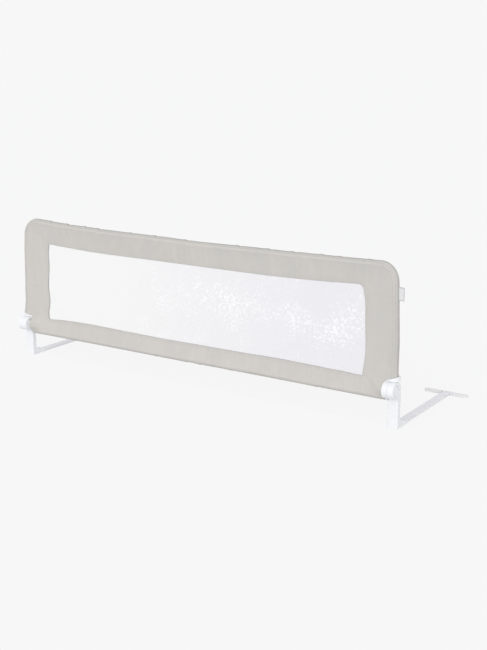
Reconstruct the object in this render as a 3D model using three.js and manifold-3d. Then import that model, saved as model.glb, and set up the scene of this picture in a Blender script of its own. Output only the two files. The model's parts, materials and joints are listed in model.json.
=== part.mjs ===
// Folding bed guard rail, 1.5 m long: a fabric covered tube frame with a mesh window, hinged on two
// plastic legs whose flat steel arms lie under the mattress. Millimetres, +Z up, X along the rail,
// +Y towards the mattress. Z 0 is the bed base that the arms lie on.
import * as THREE from "three";
import { mergeVertices } from "three/addons/utils/BufferGeometryUtils.js";
import Module from "manifold-3d";

const wasm = await Module();
wasm.setup();

// Panel: the fabric's outline, its borders round the window, and the plane Y 0 that it stands in
const PANEL_LENGTH = 1500;
const PANEL_BOTTOM = 82.5;
const PANEL_HEIGHT = 424.5;
const SIDE_BORDER = 120;
const TOP_BORDER = 81;
const BOTTOM_BORDER = 64;
const PANEL_CORNER_RADIUS = 57;
const LOWER_CORNER_RADIUS = 14;
const WINDOW_FILLET = 6;

// Tube frame
const TUBE_RADIUS = 11;
const TUBE_WALL = 1.2;
const TOP_JOINT_X = 340;
const SPIGOT_LENGTH = 44;
const JOINT_LENGTH = 90;
const SPIGOT_CLEARANCE = 0.3;
const PIN_RADIUS = 2;
const PIN_INSET = 22;
const PIN_SHORTENING = 0.6;
const TUBE_JOINT_GAP = 0.4;
const JOINT_WALL = 1.2;

// Snap buttons of the tube joints: a pin on a leaf spring inside the joint
const SNAP_PIN_RADIUS = 3;
const SNAP_PIN_PROUD = 0.6;
const SNAP_PIN_LENGTH = 8;
const SNAP_COLLAR_RADIUS = 4.2;
const SNAP_COLLAR_THICKNESS = 1;
const SNAP_OFFSET = 24;
const LEAF_THICKNESS = 0.8;
const LEAF_WIDTH = 7;
const LEAF_LENGTH = 34;
const LEAF_BEND = 1.6;

// Cover: a hollow cloth border pulled round the tubes, and sewn flat at the window
const SLEEVE_RADIUS = 13.5;
const CLOTH_THICKNESS = 1;
const HEM_HALF_THICKNESS = 1.8;
const HEM_WIDTH = 9;
const SEAM_GAP = 0.4;
const WRINKLE_HEIGHT = 0.8;
const WRINKLE_LENGTH = 74;
const SCALLOP_DEPTH = 0.6;
const SCALLOP_LENGTH = 118;
const SCALLOP_POWER = 8;
const TAPER_POWER = 0.8;
const SIDE_BOW = 9;
const TOP_BOW = 4;
const LOWER_BOW = 5;
const MESH_THICKNESS = 1;
const MESH_GAP = 0.35;
const NOTCH_GAP = 0.6;

// Pull of the stretched cloth: the top hangs down in the middle, the uprights' tops lean in
const TOP_SAG = 9;
const UPRIGHT_LEAN = 6;
const LEAN_START = 300;

// Blank side tag, sewn into the outer seam of the right border
const TAG_REACH = 15;
const TAG_HEIGHT = 41;
const TAG_TOP = 428;
const TAG_THICKNESS = 0.9;

// Hinge: a fixed drum on the leg and a turning barrel beside it, on one axis along X
const HINGE_Y = -19;
const HINGE_Z = 122.5;
const HINGE_OVERHANG = 5;
const DRUM_RADIUS = 25;
const DRUM_LENGTH = 21;
const HINGE_GAP = 0.4;
const BARREL_LENGTH = 16.4;
const COLLAR_CLEARANCE = 0.8;
const COLLAR_RISE = 14.6;
const COLLAR_LOW_RISE = 1.5;
const COLLAR_RADIUS = 20.5;
const SHOULDER_HALF_DEPTH = 13.2;
const HOUSING_LEG_GAP = 0.6;
const LOBE_RADIUS = 12.8;

// Lock: release button, toothed pocket, lock gear, spring, pivot bolt and nut
const BUTTON_RADIUS = 16.8;
const BUTTON_POCKET_DEPTH = 11;
const BUTTON_CLEARANCE = 0.6;
const BUTTON_INSET = 0.8;
const BUTTON_DISC = 1.6;
const BUTTON_SKIRT = 4.7;
const BUTTON_SKIRT_WALL = 2.6;
const BUTTON_GROOVE_RADIUS = 12.6;
const BUTTON_GROOVE_WIDTH = 0.9;
const BUTTON_GROOVE_DEPTH = 0.6;
const BUTTON_EDGE = 0.8;
const DRUM_WEB = 3;
const PRONG_RADIUS = 2.2;
const PRONG_CIRCLE = 10.6;
const PRONG_CLEARANCE = 0.4;
const TOOTH_FLANK_SHARE = 0.17;
const TOOTH_PLAY_SHARE = 0.025;
const GEAR_RADIUS = 16.4;
const GEAR_TOOTH_HEIGHT = 2.2;
const GEAR_DEPTH_START = 16.6;
const GEAR_THICKNESS = 7.4;
const GEAR_CLEARANCE = 0.45;
const GEAR_RECESS_RADIUS = 9.6;
const GEAR_RECESS_DEPTH = 5;
const SPRING_RADIUS = 7.2;
const SPRING_WIRE = 1;
const LOCK_POCKET_DEPTH = 29.4;
const LOCK_POCKET_RADIUS = 17.5;
const BOLT_RADIUS = 3.9;
const BOLT_HEAD_RADIUS = 6.5;
const BOLT_HEAD_HEIGHT = 3;
const BOLT_SOCKET_RADIUS = 2.6;
const BOLT_SOCKET_DEPTH = 1.6;
const NUT_ACROSS_CORNERS_RADIUS = 7.5;
const NUT_THICKNESS = 2.7;
const NUT_WALL = 2.2;
const COVER_PLATE_RADIUS = 19.6;
const COVER_PLATE_THICKNESS = 2.6;
const COVER_SCREW_CIRCLE = 14.5;
const COVER_SCREW_RADIUS = 1.4;
const COVER_SCREW_HEAD_RADIUS = 2.7;
const COVER_SCREW_HEAD = 1.3;
const COVER_SCREW_LENGTH = 5.4;
const SEAT_GAP = 0.3;

// Leg and its foot over the arm
const LEG_WIDTH = 33;
const LEG_FRONT = -5.5;
const LEG_BACK = 13;
const LEG_EDGE_RADIUS = 3;
const LEG_TOP_GAP = 1;
const NECK_DROP = 14;
const FOOT_LENGTH = 45.5;
const FOOT_HEIGHT = 26;
const FOOT_END_HEIGHT = 10.4;
const FOOT_FRONT_WALL = 4;
const FOOT_CURVE_SHARE = 0.33;

// Arm, crossbar and its sleeves
const ARM_WIDTH = 29.4;
const ARM_THICKNESS = 7.5;
const ARM_WALL = 1.2;
const OVAL_SHARE = 0.48;
const ARM_END_Y = 406;
const ARM_SCREW_RADIUS = 1.8;
const ARM_SCREW_HEAD_RADIUS = 3.6;
const ARM_SCREW_HEAD = 2.2;
const ARM_SCREW_LENGTH = 8;
const ARM_SCREW_INSET = 17;
const ARM_SCREW_FRONT_INSET = 11;
const CROSSBAR_LENGTH = 145;
const CROSSBAR_DEPTH = 13;
const CROSSBAR_THICKNESS = 4.5;
const CROSSBAR_LIFT = 1.5;
const CROSSBAR_END_MARGIN = 3;
const BAR_END_SHARE = 0.45;
const BAR_SLEEVE_WALL = 1.2;
const BAR_SLEEVE_DEPTH = 16;
const BAR_SLEEVE_END = 3;
const BAR_SLEEVE_ARM_GAP = 0.4;
const BAR_SLEEVE_CORNER_SHARE = 0.42;
const RIVET_RADIUS = 2;
const RIVET_HEAD_RADIUS = 3.6;
const RIVET_HEAD = 1.2;

// General
const CUT_OVERRUN = 2;
const PIN_HOLE_OVERRUN = 1.2;
const WELD_DISTANCE = 0.0005;
const DRUM_SIDES = 28;
const TUBE_SIDES = 16;
const SMALL_SIDES = 12;
const HEX_SIDES = 6;
const DRUM_CURVE_STEPS = 7;
const EDGE_STEPS = 2;
const BAR_END_STEPS = 3;
const FOOT_STEPS = 5;
const BEND_STEPS = 6;
const WINDOW_STEPS = 8;
const COVER_ROWS = 23;
const CAVITY_ROWS = 8;
const SIDE_DETAIL = 3;
const CAVITY_DETAIL = 2;
const LOWER_CORNER_STEPS = 2;
const GEAR_TEETH = 16;
const PRONG_COUNT = 3;
const SPRING_TURNS = 3.5;
const SPRING_STEPS_PER_TURN = 10;
const SPRING_SIDES = 6;

// Shares of the round part's quarter turn and of the flat part's width where cloth has a ring
const ROUND_SHARES = [0, 0.33, 0.66, 1];
const FLAT_SHARES = [0.3, 0.65, 1];

// Places that follow from the sizes above
const HALF_LENGTH = PANEL_LENGTH / 2;
const PANEL_TOP = PANEL_BOTTOM + PANEL_HEIGHT;
const WINDOW_X = HALF_LENGTH - SIDE_BORDER;
const WINDOW_TOP = PANEL_TOP - TOP_BORDER;
const WINDOW_BOTTOM = PANEL_BOTTOM + BOTTOM_BORDER;
const SEAM_X = WINDOW_X - WINDOW_FILLET;
const TUBE_X = HALF_LENGTH - SLEEVE_RADIUS;
const TOP_TUBE_Z = PANEL_TOP - SLEEVE_RADIUS;
const BOTTOM_TUBE_Z = PANEL_BOTTOM + SLEEVE_RADIUS;
const TUBE_BEND = PANEL_CORNER_RADIUS - SLEEVE_RADIUS;
const TUBE_BORE = TUBE_RADIUS - TUBE_WALL;
const SPIGOT_RADIUS = TUBE_BORE - SPIGOT_CLEARANCE;
const BEND_X = TUBE_X - TUBE_BEND;
const BEND_Z = TOP_TUBE_Z - TUBE_BEND;
const SAG_PLACES = [0, TOP_JOINT_X / 3, TOP_JOINT_X, (TOP_JOINT_X + BEND_X) / 2, BEND_X];
const FACE_X = HALF_LENGTH + HINGE_OVERHANG;
const BARREL_START = DRUM_LENGTH + HINGE_GAP;
const BARREL_END = BARREL_START + BARREL_LENGTH;
const DRUM_TOP = HINGE_Z + DRUM_RADIUS;
const COLLAR_BOTTOM = DRUM_TOP + COLLAR_CLEARANCE;
const COLLAR_TOP = COLLAR_BOTTOM + COLLAR_RISE;
const COLLAR_LOW_TOP = COLLAR_BOTTOM + COLLAR_LOW_RISE;
const LEG_TOP = HINGE_Z - DRUM_RADIUS - LEG_TOP_GAP;
const LEG_CENTRE_X = FACE_X - LEG_WIDTH / 2;
const PLATE_START = BARREL_END - COVER_PLATE_THICKNESS;
const NUT_START = LOCK_POCKET_DEPTH + NUT_WALL;
const CROSSBAR_Y = ARM_END_Y - CROSSBAR_END_MARGIN - CROSSBAR_DEPTH / 2;

// The origin: middle of the whole object's outline, on the bed base
const FRONT_Y = HINGE_Y - DRUM_RADIUS;
const CENTRE_Y = (FRONT_Y + ARM_END_Y) / 2;

// Materials
function material(name, colour, roughness, metalness) {
  return new THREE.MeshStandardMaterial({ name, color: colour, roughness, metalness });
}
const whitePlastic = material("white_plastic", 0xf1f3f5, 0.38, 0);
const greyPlastic = material("grey_plastic", 0xd9dcdf, 0.45, 0);
const paintedSteel = material("painted_steel", 0xdedde4, 0.35, 0.25);
const plainSteel = material("zinc_steel", 0xb9bbbd, 0.35, 0.9);
const springSteel = material("spring_steel", 0x9a9da0, 0.3, 0.95);
const rubber = material("pale_rubber", 0xcfcfd0, 0.8, 0);
const cloth = material("greige_cloth", 0xcbc7c2, 0.95, 0);
const netting = material("white_netting", 0xf2f2f4, 0.9, 0);
const tagCloth = material("tag_cloth", 0xf4f4f2, 0.9, 0);

// A closed mesh as a solid, with its faces turned outwards.
function solidOf(geometry) {
  geometry.deleteAttribute("normal");
  geometry.deleteAttribute("uv");
  const merged = mergeVertices(geometry, WELD_DISTANCE);
  const vertProperties = merged.attributes.position.array;
  const kept = [];
  const index = merged.index.array;
  for (let i = 0; i < index.length; i += 3) {
    const [a, b, c] = [index[i], index[i + 1], index[i + 2]];
    if (a !== b && b !== c && c !== a) kept.push(a, b, c);
  }
  let triVerts = new Uint32Array(kept);
  const made = new wasm.Manifold(new wasm.Mesh({ numProp: 3, vertProperties, triVerts }));
  if (made.volume() >= 0) return made;
  triVerts = triVerts.slice().reverse();
  return new wasm.Manifold(new wasm.Mesh({ numProp: 3, vertProperties, triVerts }));
}

function join(first, ...others) {
  return others.reduce((sum, next) => sum.add(next), first);
}

function cut(first, ...others) {
  return others.reduce((rest, next) => rest.subtract(next), first);
}

// A solid as a mesh with flat shaded faces.
function meshOf(name, solid, finish) {
  const data = solid.getMesh();
  const geometry = new THREE.BufferGeometry();
  geometry.setAttribute("position", new THREE.BufferAttribute(data.vertProperties, 3));
  geometry.setIndex(new THREE.BufferAttribute(data.triVerts, 1));
  const flat = geometry.toNonIndexed();
  flat.computeVertexNormals();
  const mesh = new THREE.Mesh(flat, finish.clone());
  mesh.name = name;
  return mesh;
}

function box(x0, x1, y0, y1, z0, z1) {
  const block = new THREE.BoxGeometry(x1 - x0, y1 - y0, z1 - z0);
  return solidOf(block.translate((x0 + x1) / 2, (y0 + y1) / 2, (z0 + z1) / 2));
}

function rodX(radius, x0, x1, y, z, sides) {
  const rod = new THREE.CylinderGeometry(radius, radius, x1 - x0, sides);
  return solidOf(rod.rotateZ(Math.PI / 2).translate((x0 + x1) / 2, y, z));
}

function rodY(radius, y0, y1, x, z, sides) {
  const rod = new THREE.CylinderGeometry(radius, radius, y1 - y0, sides);
  return solidOf(rod.translate(x, (y0 + y1) / 2, z));
}

function rodZ(radius, z0, z1, x, y, sides) {
  const rod = new THREE.CylinderGeometry(radius, radius, z1 - z0, sides);
  return solidOf(rod.rotateX(Math.PI / 2).translate(x, y, (z0 + z1) / 2));
}

// An outline in the Y-Z plane, drawn out along X.
function prismX(outline, x0, x1, curveSegments) {
  const settings = { depth: x1 - x0, bevelEnabled: false, curveSegments };
  const prism = new THREE.ExtrudeGeometry(outline, settings);
  const turn = new THREE.Matrix4().makeBasis(
    new THREE.Vector3(0, 1, 0),
    new THREE.Vector3(0, 0, 1),
    new THREE.Vector3(1, 0, 0),
  );
  return solidOf(prism.applyMatrix4(turn).translate(x0, 0, 0));
}

// An outline in the X-Z plane, drawn out along Y.
function prismY(outline, y0, y1, curveSegments) {
  const settings = { depth: y1 - y0, bevelEnabled: false, curveSegments };
  const prism = new THREE.ExtrudeGeometry(outline, settings);
  return solidOf(prism.rotateX(Math.PI / 2).translate(0, y1, 0));
}

// An outline in the X-Y plane, drawn out along Z.
function prismZ(outline, z0, z1, curveSegments) {
  const settings = { depth: z1 - z0, bevelEnabled: false, curveSegments };
  const prism = new THREE.ExtrudeGeometry(outline, settings);
  return solidOf(prism.translate(0, 0, z0));
}

function outlineOf(points) {
  return new THREE.Shape(points.map(([across, up]) => new THREE.Vector2(across, up)));
}

function roundedRectangle(x0, x1, y0, y1, radius) {
  const shape = new THREE.Shape();
  shape.moveTo(x0 + radius, y0);
  shape.absarc(x1 - radius, y0 + radius, radius, -Math.PI / 2, 0);
  shape.absarc(x1 - radius, y1 - radius, radius, 0, Math.PI / 2);
  shape.absarc(x0 + radius, y1 - radius, radius, Math.PI / 2, Math.PI);
  shape.absarc(x0 + radius, y0 + radius, radius, Math.PI, 1.5 * Math.PI);
  return shape;
}

function circleOutline(radius) {
  const shape = new THREE.Shape();
  shape.absarc(0, 0, radius, 0, 2 * Math.PI);
  return shape;
}

// A turned piece on the hinge axis of the right side. Its profile is a list of
// [radius, depth from the outer face], which starts and ends on the axis.
function turnedOnHinge(profile, sides) {
  const points = profile.map(([radius, depth]) => new THREE.Vector2(radius, -depth));
  const turned = new THREE.LatheGeometry(points, sides);
  return solidOf(turned.rotateZ(-Math.PI / 2).translate(FACE_X, HINGE_Y, HINGE_Z));
}

// A round bar on the hinge axis between two depths from the outer face.
function hingeRod(radius, depth0, depth1, sides = DRUM_SIDES) {
  return rodX(radius, FACE_X - depth1, FACE_X - depth0, HINGE_Y, HINGE_Z, sides);
}

// A path through given points, with one ring of the swept section at each of them.
class PointPath extends THREE.Curve {
  constructor(points) {
    super();
    this.points = points;
  }

  getPoint(share, target = new THREE.Vector3()) {
    const last = this.points.length - 1;
    const place = Math.min(Math.max(share, 0), 1) * last;
    const start = Math.min(Math.floor(place), last - 1);
    return target.lerpVectors(this.points[start], this.points[start + 1], place - start);
  }

  getPointAt(share, target) {
    return this.getPoint(share, target);
  }

  getTangentAt(share, target) {
    return this.getTangent(share, target);
  }
}

function sweep(points, radius, sides) {
  const settings = {
    steps: points.length - 1,
    extrudePath: new PointPath(points),
    curveSegments: sides / 2,
  };
  return solidOf(new THREE.ExtrudeGeometry(circleOutline(radius), settings));
}

// Toothed outline of the lock gear, or of the pocket it slides in.
function toothedOutline(radius, toothHeight, flankShare) {
  const points = [];
  const pitch = (2 * Math.PI) / GEAR_TEETH;
  for (let tooth = 0; tooth < GEAR_TEETH; tooth++) {
    const middle = tooth * pitch;
    const corners = [
      [radius - toothHeight, -pitch * (0.5 - flankShare)],
      [radius, -pitch * flankShare],
      [radius, pitch * flankShare],
      [radius - toothHeight, pitch * (0.5 - flankShare)],
    ];
    for (const [reach, turn] of corners) {
      const angle = middle + turn;
      points.push([HINGE_Y + reach * Math.cos(angle), HINGE_Z + reach * Math.sin(angle)]);
    }
  }
  return outlineOf(points);
}

// Places of the button's prongs round the hinge axis.
function prongPlaces() {
  return Array.from({ length: PRONG_COUNT }, (_, number) => {
    const angle = Math.PI / 2 + (number * 2 * Math.PI) / PRONG_COUNT;
    return [HINGE_Y + PRONG_CIRCLE * Math.cos(angle), HINGE_Z + PRONG_CIRCLE * Math.sin(angle)];
  });
}

// Side view of the leg's head: the drum, its round shoulder and the neck that runs into the leg.
function legHeadOutline() {
  const head = new THREE.Shape();
  head.moveTo(LEG_BACK, LEG_TOP);
  head.lineTo(LEG_BACK, HINGE_Z);
  head.quadraticCurveTo(LEG_BACK, DRUM_TOP, HINGE_Y, DRUM_TOP);
  head.absarc(HINGE_Y, HINGE_Z, DRUM_RADIUS, Math.PI / 2, 1.5 * Math.PI);
  head.quadraticCurveTo(LEG_FRONT, HINGE_Z - DRUM_RADIUS, LEG_FRONT, LEG_TOP - NECK_DROP);
  head.lineTo(LEG_BACK, LEG_TOP - NECK_DROP);
  head.closePath();
  return head;
}

// The leg moulding: drum with button pocket and toothed pocket, upright and foot over the arm.
function leg() {
  const head = prismX(legHeadOutline(), FACE_X - DRUM_LENGTH, FACE_X, DRUM_CURVE_STEPS);
  const column = prismZ(
    roundedRectangle(FACE_X - LEG_WIDTH, FACE_X, LEG_FRONT, LEG_BACK, LEG_EDGE_RADIUS),
    0,
    LEG_TOP,
    EDGE_STEPS,
  );
  const footOutline = new THREE.Shape();
  footOutline.moveTo(LEG_BACK - LEG_EDGE_RADIUS, 0);
  footOutline.lineTo(LEG_BACK + FOOT_LENGTH, 0);
  footOutline.lineTo(LEG_BACK + FOOT_LENGTH, FOOT_END_HEIGHT);
  footOutline.quadraticCurveTo(
    LEG_BACK + FOOT_LENGTH * FOOT_CURVE_SHARE,
    FOOT_END_HEIGHT,
    LEG_BACK - LEG_EDGE_RADIUS,
    FOOT_HEIGHT,
  );
  const foot = prismX(footOutline, FACE_X - LEG_WIDTH, FACE_X, FOOT_STEPS);
  const channel = box(
    LEG_CENTRE_X - ARM_WIDTH / 2 - SEAT_GAP,
    LEG_CENTRE_X + ARM_WIDTH / 2 + SEAT_GAP,
    LEG_FRONT + FOOT_FRONT_WALL,
    LEG_BACK + FOOT_LENGTH + CUT_OVERRUN,
    -CUT_OVERRUN,
    ARM_THICKNESS + SEAT_GAP,
  );
  const toothed = prismX(
    toothedOutline(GEAR_RADIUS + GEAR_CLEARANCE, GEAR_TOOTH_HEIGHT, TOOTH_FLANK_SHARE + TOOTH_PLAY_SHARE),
    FACE_X - DRUM_LENGTH - CUT_OVERRUN,
    FACE_X - BUTTON_POCKET_DEPTH - DRUM_WEB,
  );
  const webHoles = prongPlaces().map(([y, z]) =>
    rodX(
      PRONG_RADIUS + PRONG_CLEARANCE,
      FACE_X - DRUM_LENGTH,
      FACE_X,
      y,
      z,
      SMALL_SIDES,
    ),
  );
  const screwHoles = armScrewPlaces().map((y) =>
    rodZ(
      ARM_SCREW_RADIUS + SEAT_GAP,
      0,
      ARM_THICKNESS + ARM_SCREW_LENGTH,
      LEG_CENTRE_X,
      y,
      SMALL_SIDES,
    ),
  );
  return cut(
    join(head, column, foot),
    channel,
    hingeRod(BUTTON_RADIUS + BUTTON_CLEARANCE, -CUT_OVERRUN, BUTTON_POCKET_DEPTH),
    toothed,
    hingeRod(BOLT_RADIUS + SEAT_GAP, 0, DRUM_LENGTH, SMALL_SIDES),
    ...webHoles,
    ...screwHoles,
  );
}

// Y places of the two screws that hold the arm in the foot.
function armScrewPlaces() {
  return [LEG_FRONT + ARM_SCREW_FRONT_INSET, LEG_BACK + FOOT_LENGTH - ARM_SCREW_INSET];
}

// Release button: a dished cap with a ring groove, a skirt and three prongs that push the gear.
function releaseButton() {
  const face = BUTTON_INSET;
  const inside = face + BUTTON_DISC;
  const groove = BUTTON_GROOVE_RADIUS;
  const cap = turnedOnHinge(
    [
      [0, face + BUTTON_GROOVE_DEPTH / 2],
      [groove - BUTTON_GROOVE_WIDTH, face],
      [groove, face + BUTTON_GROOVE_DEPTH],
      [groove + BUTTON_GROOVE_WIDTH, face],
      [BUTTON_RADIUS - BUTTON_EDGE, face],
      [BUTTON_RADIUS, face + BUTTON_EDGE],
      [BUTTON_RADIUS, face + BUTTON_SKIRT],
      [BUTTON_RADIUS - BUTTON_SKIRT_WALL, face + BUTTON_SKIRT],
      [BUTTON_RADIUS - BUTTON_SKIRT_WALL, inside],
      [0, inside],
    ],
    DRUM_SIDES,
  );
  const prongs = prongPlaces().map(([y, z]) =>
    rodX(
      PRONG_RADIUS,
      FACE_X - GEAR_DEPTH_START + SEAT_GAP,
      FACE_X - inside + BUTTON_DISC / 2,
      y,
      z,
      SMALL_SIDES,
    ),
  );
  return join(cap, ...prongs);
}

// Lock gear: slides on the pivot bolt, in the leg's toothed pocket and the barrel beside it.
function lockGear() {
  const depth1 = GEAR_DEPTH_START + GEAR_THICKNESS;
  const body = prismX(
    toothedOutline(GEAR_RADIUS, GEAR_TOOTH_HEIGHT, TOOTH_FLANK_SHARE),
    FACE_X - depth1,
    FACE_X - GEAR_DEPTH_START,
  );
  return cut(
    body,
    hingeRod(BOLT_RADIUS + SPIGOT_CLEARANCE, 0, depth1 + CUT_OVERRUN, SMALL_SIDES),
    hingeRod(GEAR_RECESS_RADIUS, depth1 - GEAR_RECESS_DEPTH, depth1 + CUT_OVERRUN),
  );
}

// Coil spring between the gear's recess and the wall of the barrel.
function lockSpring() {
  const start = GEAR_DEPTH_START + GEAR_THICKNESS - GEAR_RECESS_DEPTH + SEAT_GAP + SPRING_WIRE / 2;
  const end = LOCK_POCKET_DEPTH - SEAT_GAP - SPRING_WIRE / 2;
  const count = Math.round(SPRING_TURNS * SPRING_STEPS_PER_TURN);
  const points = Array.from({ length: count + 1 }, (_, step) => {
    const angle = (step / SPRING_STEPS_PER_TURN) * 2 * Math.PI;
    return new THREE.Vector3(
      FACE_X - start - ((end - start) * step) / count,
      HINGE_Y + SPRING_RADIUS * Math.cos(angle),
      HINGE_Z + SPRING_RADIUS * Math.sin(angle),
    );
  });
  return sweep(points, SPRING_WIRE / 2, SPRING_SIDES);
}

function hingeBolt() {
  const head1 = BUTTON_POCKET_DEPTH - SEAT_GAP;
  const head0 = head1 - BOLT_HEAD_HEIGHT;
  return turnedOnHinge(
    [
      [0, head0 + BOLT_SOCKET_DEPTH],
      [BOLT_SOCKET_RADIUS, head0 + BOLT_SOCKET_DEPTH],
      [BOLT_SOCKET_RADIUS, head0],
      [BOLT_HEAD_RADIUS, head0],
      [BOLT_HEAD_RADIUS, head1],
      [BOLT_RADIUS, head1],
      [BOLT_RADIUS, NUT_START + SEAT_GAP + NUT_THICKNESS],
      [0, NUT_START + SEAT_GAP + NUT_THICKNESS],
    ],
    TUBE_SIDES,
  );
}

function hingeNut() {
  const start = NUT_START + SEAT_GAP;
  return cut(
    hingeRod(NUT_ACROSS_CORNERS_RADIUS, start, start + NUT_THICKNESS, HEX_SIDES),
    hingeRod(BOLT_RADIUS + SEAT_GAP, 0, start + NUT_THICKNESS + CUT_OVERRUN, SMALL_SIDES),
  );
}

// Height of the collar's slanted top at a place along X.
function collarTopAt(x) {
  const share = (x - (FACE_X - BARREL_END)) / BARREL_END;
  return COLLAR_LOW_TOP + (COLLAR_TOP - COLLAR_LOW_TOP) * share;
}

// The turning half of the hinge: barrel, collar over the drum, and the spigots of both tubes.
function hingeHousing() {
  const inner = FACE_X - BARREL_END;
  const barrel = hingeRod(DRUM_RADIUS, BARREL_START, BARREL_END);
  const shoulder = box(
    inner,
    FACE_X - BARREL_START,
    -SHOULDER_HALF_DEPTH,
    SHOULDER_HALF_DEPTH,
    HINGE_Z,
    COLLAR_BOTTOM + COLLAR_LOW_RISE / 2,
  );
  const outer = TUBE_X + COLLAR_RADIUS;
  const wedge = prismY(
    outlineOf([
      [inner, COLLAR_BOTTOM],
      [outer, COLLAR_BOTTOM],
      [outer, collarTopAt(outer)],
      [inner, collarTopAt(inner)],
    ]),
    -COLLAR_RADIUS,
    COLLAR_RADIUS,
  );
  const round = rodZ(COLLAR_RADIUS, COLLAR_BOTTOM, collarTopAt(outer), TUBE_X, 0, DRUM_SIDES);
  const collar = round.intersect(wedge);
  const lobeStart = FACE_X - LEG_WIDTH - HOUSING_LEG_GAP;
  const lobe = join(
    rodX(LOBE_RADIUS, inner, lobeStart, 0, BOTTOM_TUBE_Z, TUBE_SIDES),
    box(inner, lobeStart, -LOBE_RADIUS, LOBE_RADIUS, BOTTOM_TUBE_Z, HINGE_Z + CUT_OVERRUN),
  );
  const seatTop = collarTopAt(FACE_X);
  const upperSpigot = join(
    rodZ(TUBE_RADIUS, COLLAR_BOTTOM, seatTop, TUBE_X, 0, TUBE_SIDES),
    rodZ(SPIGOT_RADIUS, COLLAR_BOTTOM, seatTop + SPIGOT_LENGTH, TUBE_X, 0, TUBE_SIDES),
  );
  const lowerSpigot = rodX(
    SPIGOT_RADIUS,
    inner - SPIGOT_LENGTH,
    lobeStart,
    0,
    BOTTOM_TUBE_Z,
    TUBE_SIDES,
  );
  const screwHoles = coverScrewPlaces().map(([y, z]) =>
    rodX(
      COVER_SCREW_RADIUS + SEAT_GAP,
      FACE_X - PLATE_START - SEAT_GAP,
      FACE_X - LOCK_POCKET_DEPTH - SEAT_GAP,
      y,
      z,
      SMALL_SIDES,
    ),
  );
  return cut(
    join(barrel, shoulder, collar, lobe, upperSpigot, lowerSpigot),
    hingeRod(LOCK_POCKET_RADIUS, BARREL_START - CUT_OVERRUN, LOCK_POCKET_DEPTH),
    hingeRod(BOLT_RADIUS + SEAT_GAP, LOCK_POCKET_DEPTH - CUT_OVERRUN, BARREL_END, SMALL_SIDES),
    hingeRod(NUT_ACROSS_CORNERS_RADIUS + SEAT_GAP, NUT_START, BARREL_END, HEX_SIDES),
    hingeRod(COVER_PLATE_RADIUS + SEAT_GAP, PLATE_START - SEAT_GAP, BARREL_END + CUT_OVERRUN),
    upperPin(SEAT_GAP, PIN_HOLE_OVERRUN),
    lowerPin(SEAT_GAP, PIN_HOLE_OVERRUN),
    ...screwHoles,
  );
}

// Pins that hold the tubes on the housing's spigots; with extra room they are their own holes.
function upperPin(room, overrun) {
  const z = collarTopAt(FACE_X) + PIN_INSET;
  const half = TUBE_RADIUS - PIN_SHORTENING + overrun;
  return rodY(PIN_RADIUS + room, -half, half, TUBE_X, z, SMALL_SIDES);
}

function lowerPin(room, overrun) {
  const x = FACE_X - BARREL_END - PIN_INSET;
  const half = TUBE_RADIUS - PIN_SHORTENING + overrun;
  return rodY(PIN_RADIUS + room, -half, half, x, BOTTOM_TUBE_Z, SMALL_SIDES);
}

function coverScrewPlaces() {
  return [
    [HINGE_Y, HINGE_Z + COVER_SCREW_CIRCLE],
    [HINGE_Y, HINGE_Z - COVER_SCREW_CIRCLE],
  ];
}

// Plate that closes the barrel's inner end over the nut.
function coverPlate() {
  const holes = coverScrewPlaces().flatMap(([y, z]) => [
    rodX(COVER_SCREW_RADIUS + SEAT_GAP, FACE_X - BARREL_END, FACE_X, y, z, SMALL_SIDES),
    rodX(
      COVER_SCREW_HEAD_RADIUS + SEAT_GAP,
      FACE_X - BARREL_END - CUT_OVERRUN,
      FACE_X - BARREL_END + COVER_SCREW_HEAD + SEAT_GAP,
      y,
      z,
      SMALL_SIDES,
    ),
  ]);
  return cut(hingeRod(COVER_PLATE_RADIUS, PLATE_START, BARREL_END), ...holes);
}

function coverScrew([y, z]) {
  const inner = FACE_X - BARREL_END;
  return join(
    rodX(COVER_SCREW_HEAD_RADIUS, inner, inner + COVER_SCREW_HEAD, y, z, SMALL_SIDES),
    rodX(COVER_SCREW_RADIUS, inner, inner + COVER_SCREW_LENGTH, y, z, SMALL_SIDES),
  );
}

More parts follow.
